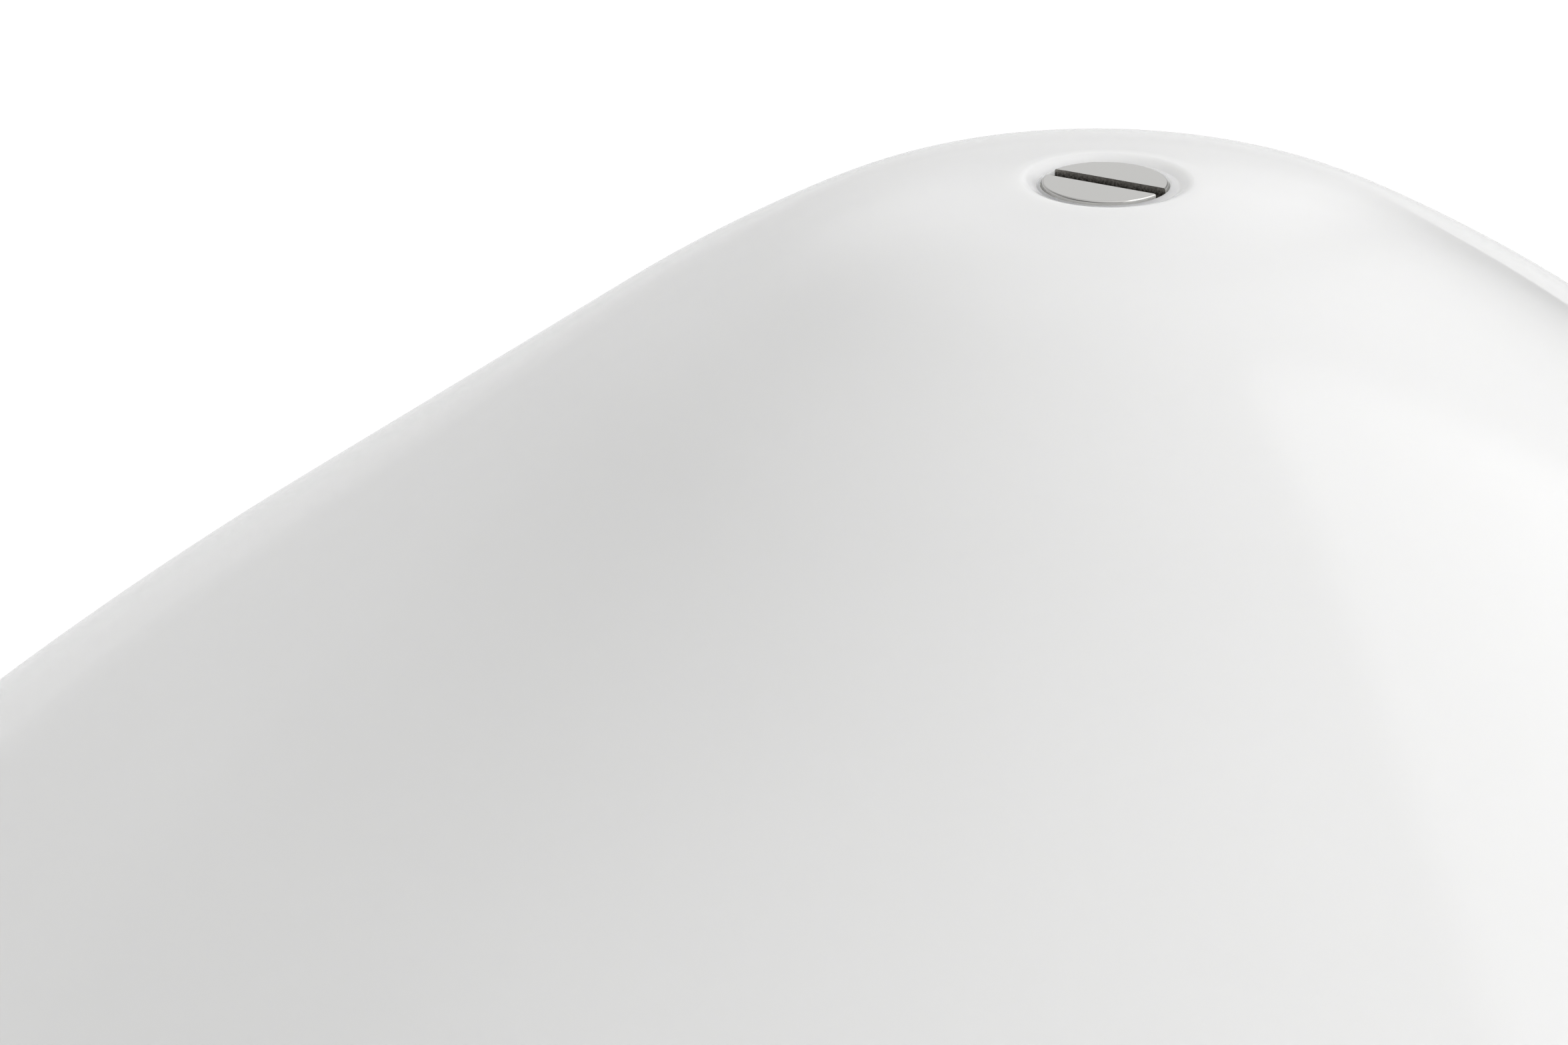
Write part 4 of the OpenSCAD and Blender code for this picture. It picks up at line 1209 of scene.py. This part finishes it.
# %% [markdown]
# ## The base
#
# The base is a spun steel shell in white enamel over a cast weight, closed by a plate and standing on a rubber
# ring. The shell is one sheet: flat on top, round at the edge and nearly upright at the side, with an edge
# rolled at the foot. Its two holes, for the switch and the cord inlet, are drilled after spinning.

# %% Spin and drill the shell
SHELL_T = 1.5
FLAT_R, ROUND = 98, 20
shell_foot, shell_top = foot("base_shell"), top("base_shell")
SWITCH_AT = tuple(centre("switch_button"))[:2]
STEEPNESS = 86


def shell_line(inset):
    """The shell's line from the stem out to the foot, moved inwards."""
    arc = bend((FLAT_R, shell_top - ROUND), ROUND - inset, 90, 90 - STEEPNESS, 24)
    drop = arc[-1][1] - shell_foot
    return [(5.2, shell_top - inset)] + arc + [
        (arc[-1][0] + drop / math.tan(math.radians(STEEPNESS)), shell_foot)]


outer, inner = shell_line(0), shell_line(SHELL_T)
section = outer[:-1] + rounded([outer[-2], (*outer[-1], 0.6), (*inner[-1], 0.6), inner[-2]])[1:-1]
section += inner[-2::-1] + outer[:1]
shell = turned("spun_base_shell", section, finish_of("base_shell"), 256)
switch_drill = bar((*SWITCH_AT, shell_top - 5), (*SWITCH_AT, shell_top + 5), 9.1, 96)
grommet_z = centre("cord_grommet").z
inlet_drill = bar((0, FLAT_R, grommet_z), (0, FLAT_R + ROUND + 10, grommet_z), 5.05, 64)
keep(softened(cut(shell, switch_drill, inlet_drill), 0.2, limit=50), "base_shell")

# %% [markdown]
# Underneath, the rubber ring has three grooves that let it grip, and three pan-head screws with a cross recess
# hold the plate.

# %% Foot ring, screws, weight and plate
pad_top, PAD_R, PAD_BORE = top("foot_pad"), reach("foot_pad"), 75
grooves = [(g + dx, z) for g in (80.5, 90, 99.5) for dx, z in ((-1.2, 0), (-0.7, 0.9), (0.7, 0.9), (1.2, 0))]
pad = turned("grooved_foot_ring", rounded([(PAD_BORE, 0, 0.6)] + grooves + [
    (PAD_R, 0, 0.6), (PAD_R, pad_top, 0.6), (PAD_BORE, pad_top, 0.6)], closed=True), finish_of("foot_pad"), 192)
SCREW_AT = spoke(85, 30)
hole = bar((*SCREW_AT, -1), (*SCREW_AT, pad_top + 1), 5.2)
keep(cut(pad, copies_of("holes", hole, 3)), "foot_pad")

screw_low, screw_top = foot("base_screws"), top("base_screws")
pan = turned("pan_head", rounded([
    (0, screw_low), (4.6, screw_low, 1.4), (4.6, pad_top, 0.1), (0, pad_top)], steps=6),
    finish_of("base_screws"), 64, SCREW_AT)
for angle in (0, 90):
    pan = cut(pan, block((-2.6, -0.5, screw_low - 1), (2.6, 0.5, screw_low + 1.3), angle, SCREW_AT))
pan = softened(pan, 0.06, limit=50)
shank = threaded("base_screw_thread", finish_of("base_screws"), 2.5, pad_top - 0.2, screw_top, 0.8, 0.43,
                 at=SCREW_AT, steps=32)
keep(copies_of("plate_screws", joined("plate_screw", [pan, shank]), 3), "base_screws")
from_frame("base_weight", 0.8, "cast_weight")
from_frame("base_plate", 0.3, "closing_plate")

# %% [markdown]
# The clamping nut and its toothed washer pull the stem down on the weight, and at the back a rubber grommet with
# a groove snaps into the shell.

# %% Nut, toothed washer, grommet and terminal block
keep(hex_nut("clamping_nut", 17, 5.03, foot("clamp_nut"), top("clamp_nut"), finish_of("clamp_nut")), "clamp_nut")
washer = turned("toothed_washer", ring_of("lock_washer", 9.5, 5.2, 0.15), finish_of("lock_washer"))
gap = block((4.5, -0.5, foot("lock_washer") - 1), (7.2, 0.5, top("lock_washer") + 1))
keep(cut(washer, copies_of("gaps", gap, 12)), "lock_washer")

grommet_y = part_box("cord_grommet")[0].y / MM
grommet = turned("inlet_grommet", rounded([
    (3.6, 0, 0.4), (6.6, 0, 0.5), (6.6, 2.5, 0.3), (5, 2.5, 0.2), (5, 6.5, 0.2), (6.6, 6.5, 0.3), (6.6, 9, 1.3),
    (3.6, 9, 0.6)], closed=True), finish_of("cord_grommet"), 96)
moved(grommet, Matrix.Translation((0, grommet_y, grommet_z)) @ Matrix.Rotation(-math.pi / 2, 4, "X"))
keep(grommet, "cord_grommet")
from_frame("terminal_block", 0.5, "moulded_terminal_block")
from_frame("terminal_screws", 0.12, "terminal_block_screws")

# %% [markdown]
# ## The push switch
#
# The switch is a small push button in a chrome bezel. The bezel's barrel is threaded and goes through the shell
# to a notched nut underneath. The button's top is slightly domed, so it shows one soft round reflection. Inside,
# a coil spring lifts it, and the spring is given a mesh of its own.

# %% Bezel, nut, body, button and spring
barrel_low, bezel_top = foot("switch_bezel"), top("switch_bezel")
ring = turned("bezel_ring", rounded([
    (7.6, shell_top - 1, 0), (9, shell_top - 1, 0), (9, shell_top, 0), (11.5, shell_top, 0.15),
    (11.5, shell_top + 1.1, 0.5), (9.6, bezel_top, 0.5), (7.6, bezel_top, 0.35)], closed=True),
    finish_of("switch_bezel"), 128, SWITCH_AT)
barrel = threaded("bezel_barrel", finish_of("switch_bezel"), 9, barrel_low, shell_top - 0.8, 1.0, 0.6, bore=7.6,
                  at=SWITCH_AT, steps=96)
keep(joined("chrome_bezel", [ring, barrel]), "switch_bezel")

nut_low, nut_top = foot("switch_nut"), top("switch_nut")
nut = turned("notched_nut", ring_of("switch_nut", 13, 9.03, 0.3), finish_of("switch_nut"), 96, SWITCH_AT)
notch = moved(block((11.5, -1, nut_low - 1), (14, 1, nut_top + 1)), Matrix.Translation((*SWITCH_AT, 0)))
keep(cut(nut, copies_of("notches", notch, 6, SWITCH_AT)), "switch_nut")
spun("switch_body", "switch_housing", rounded([
    (0, foot("switch_body")), (10, foot("switch_body"), 0.8), (10, top("switch_body"), 0.4),
    (0, top("switch_body"))]), 96, SWITCH_AT)

DOME = 40
button_low, button_top = foot("switch_button"), top("switch_button")
dome = [(x, button_top - DOME + math.sqrt(DOME * DOME - x * x)) for x in (0, 1, 2, 3, 4, 5, 6, 6.6)]
spun("switch_button", "domed_button", dome + rounded([
    dome[-1], (7.5, dome[-1][1] - 0.1, 0.5), (7.5, button_low, 0.3), (0, button_low)], steps=6)[1:],
    128, SWITCH_AT)

WIRE_R = 0.45
spring_low, spring_high = foot("switch_spring"), top("switch_spring")
spring = made_by(COIL, "button_spring", bpy.data.meshes.new("coil_seed"), {
    "Coil Radius": 5.2 * MM, "Wire Radius": WIRE_R * MM, "Foot": (spring_low + WIRE_R) * MM,
    "Height": (spring_high - spring_low - 2 * WIRE_R) * MM, "Turns": 4.0, "Material": finish_of("switch_spring")})
moved(spring, Matrix.Translation((*SWITCH_AT, 0)))
keep(spring, "switch_spring")
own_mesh(spring)

way = [(44.9, -44.9), (30, -30.5), (16, -16), (11, -9), (9.5, 0), (9, 12), (9, 25), (9, 38)]
keep(swept("switch_lead_run", [(x, y, 8) for x, y in way], 1.8, finish_of("switch_lead")), "switch_lead")

# %% [markdown]
# ## Floor and light
#
# The lamp stands on a plain pale floor in a photo studio. The light is soft and comes from nearly everywhere: a
# bright ceiling that fades towards the left, a pale wall behind, and one large softbox above to the right. All
# of it is far away, so it is made as a sky: a formula of the direction that a ray leaves in. Each patch has soft
# edges, because `soft_edge` climbs slowly from 0 to 1. The camera itself sees plain white all round.

# %% The studio sky and the floor
def soft_edge(distance, width):
    """0 on one side of an edge and 1 on the other, with a smooth climb between."""
    node = add(distance.tree, "ShaderNodeMapRange", {
        "Value": plain(distance), "From Min": -width, "From Max": width}, interpolation_type="SMOOTHSTEP")
    return Wire(distance.tree, node.outputs["Result"])


def studio_sky():
    world = bpy.data.worlds.new("studio")
    world.use_nodes = True
    tree = world.node_tree
    direction = add(tree, "ShaderNodeTexCoord").outputs["Generated"]
    x, y, z = (Wire(tree, out) for out in add(tree, "ShaderNodeSeparateXYZ", {"Vector": direction}).outputs)
    ceiling = largest(x * 0.6 + z * 1.394 - y * 0.05 - 0.171, 0.0)
    wall = soft_edge(0.53 - z, 0.21) * soft_edge(y * 0.23 - x * 0.973, 0.1) * soft_edge(y + 0.3, 0.5) * 0.70
    near_side = soft_edge(x * 0.89 + y * 0.45 - z * 0.415, 0.05)
    back_side = soft_edge(x * 0.66 - y * 0.75 + z * 0.028, 0.05)
    softbox = near_side * back_side * soft_edge(z - 0.15, 0.05) * 0.882
    above = soft_edge(z, 0.01)
    below = (1.0 - above) * 0.75
    studio = tree.nodes["Background"]
    tree.links.new(plain((ceiling + wall + softbox) * above + below), studio.inputs["Strength"])
    white = add(tree, "ShaderNodeBackground", {"Color": (1, 1, 1, 1), "Strength": 1.0})
    seen = add(tree, "ShaderNodeMixShader", {
        0: add(tree, "ShaderNodeLightPath").outputs["Is Camera Ray"], 1: studio.outputs[0], 2: white.outputs[0]})
    tree.links.new(seen.outputs[0], tree.nodes["World Output"].inputs["Surface"])
    studio.inputs["Color"].default_value = (1, 1, 1, 1)
    return world


FLOOR_HALF = 8  # metres
FLOOR_Z = -1e-4  # metres; a little under the pad, so that the two don't share a plane


def pale_floor():
    """A floor a little brighter to the camera than to the lamp, as a lit studio sweep is."""
    material = bpy.data.materials.new("pale_floor")
    material.use_nodes = True
    tree = material.node_tree
    shader = tree.nodes["Principled BSDF"]
    shader.inputs["Base Color"].default_value = (0.80, 0.80, 0.80, 1)
    shader.inputs["Roughness"].default_value = 0.9
    shader.inputs["Specular IOR Level"].default_value = 0.1
    shader.inputs["Emission Color"].default_value = (1, 1, 1, 1)
    glow = math_node(tree, "MULTIPLY", add(tree, "ShaderNodeLightPath").outputs["Is Camera Ray"], 0.32)
    tree.links.new(glow, shader.inputs["Emission Strength"])
    mesh = bpy.data.meshes.new("floor")
    corners = [(-FLOOR_HALF, -FLOOR_HALF), (FLOOR_HALF, -FLOOR_HALF), (FLOOR_HALF, FLOOR_HALF),
               (-FLOOR_HALF, FLOOR_HALF)]
    mesh.from_pydata([(x, y, FLOOR_Z) for x, y in corners], [], [(0, 1, 2, 3)])
    mesh.materials.append(material)
    floor = new_object("floor", mesh)


bpy.context.scene.world = studio_sky()
pale_floor()
bpy.context.scene.view_settings.view_transform = "Standard"
print("sky:", len(bpy.context.scene.world.node_tree.nodes), "nodes")
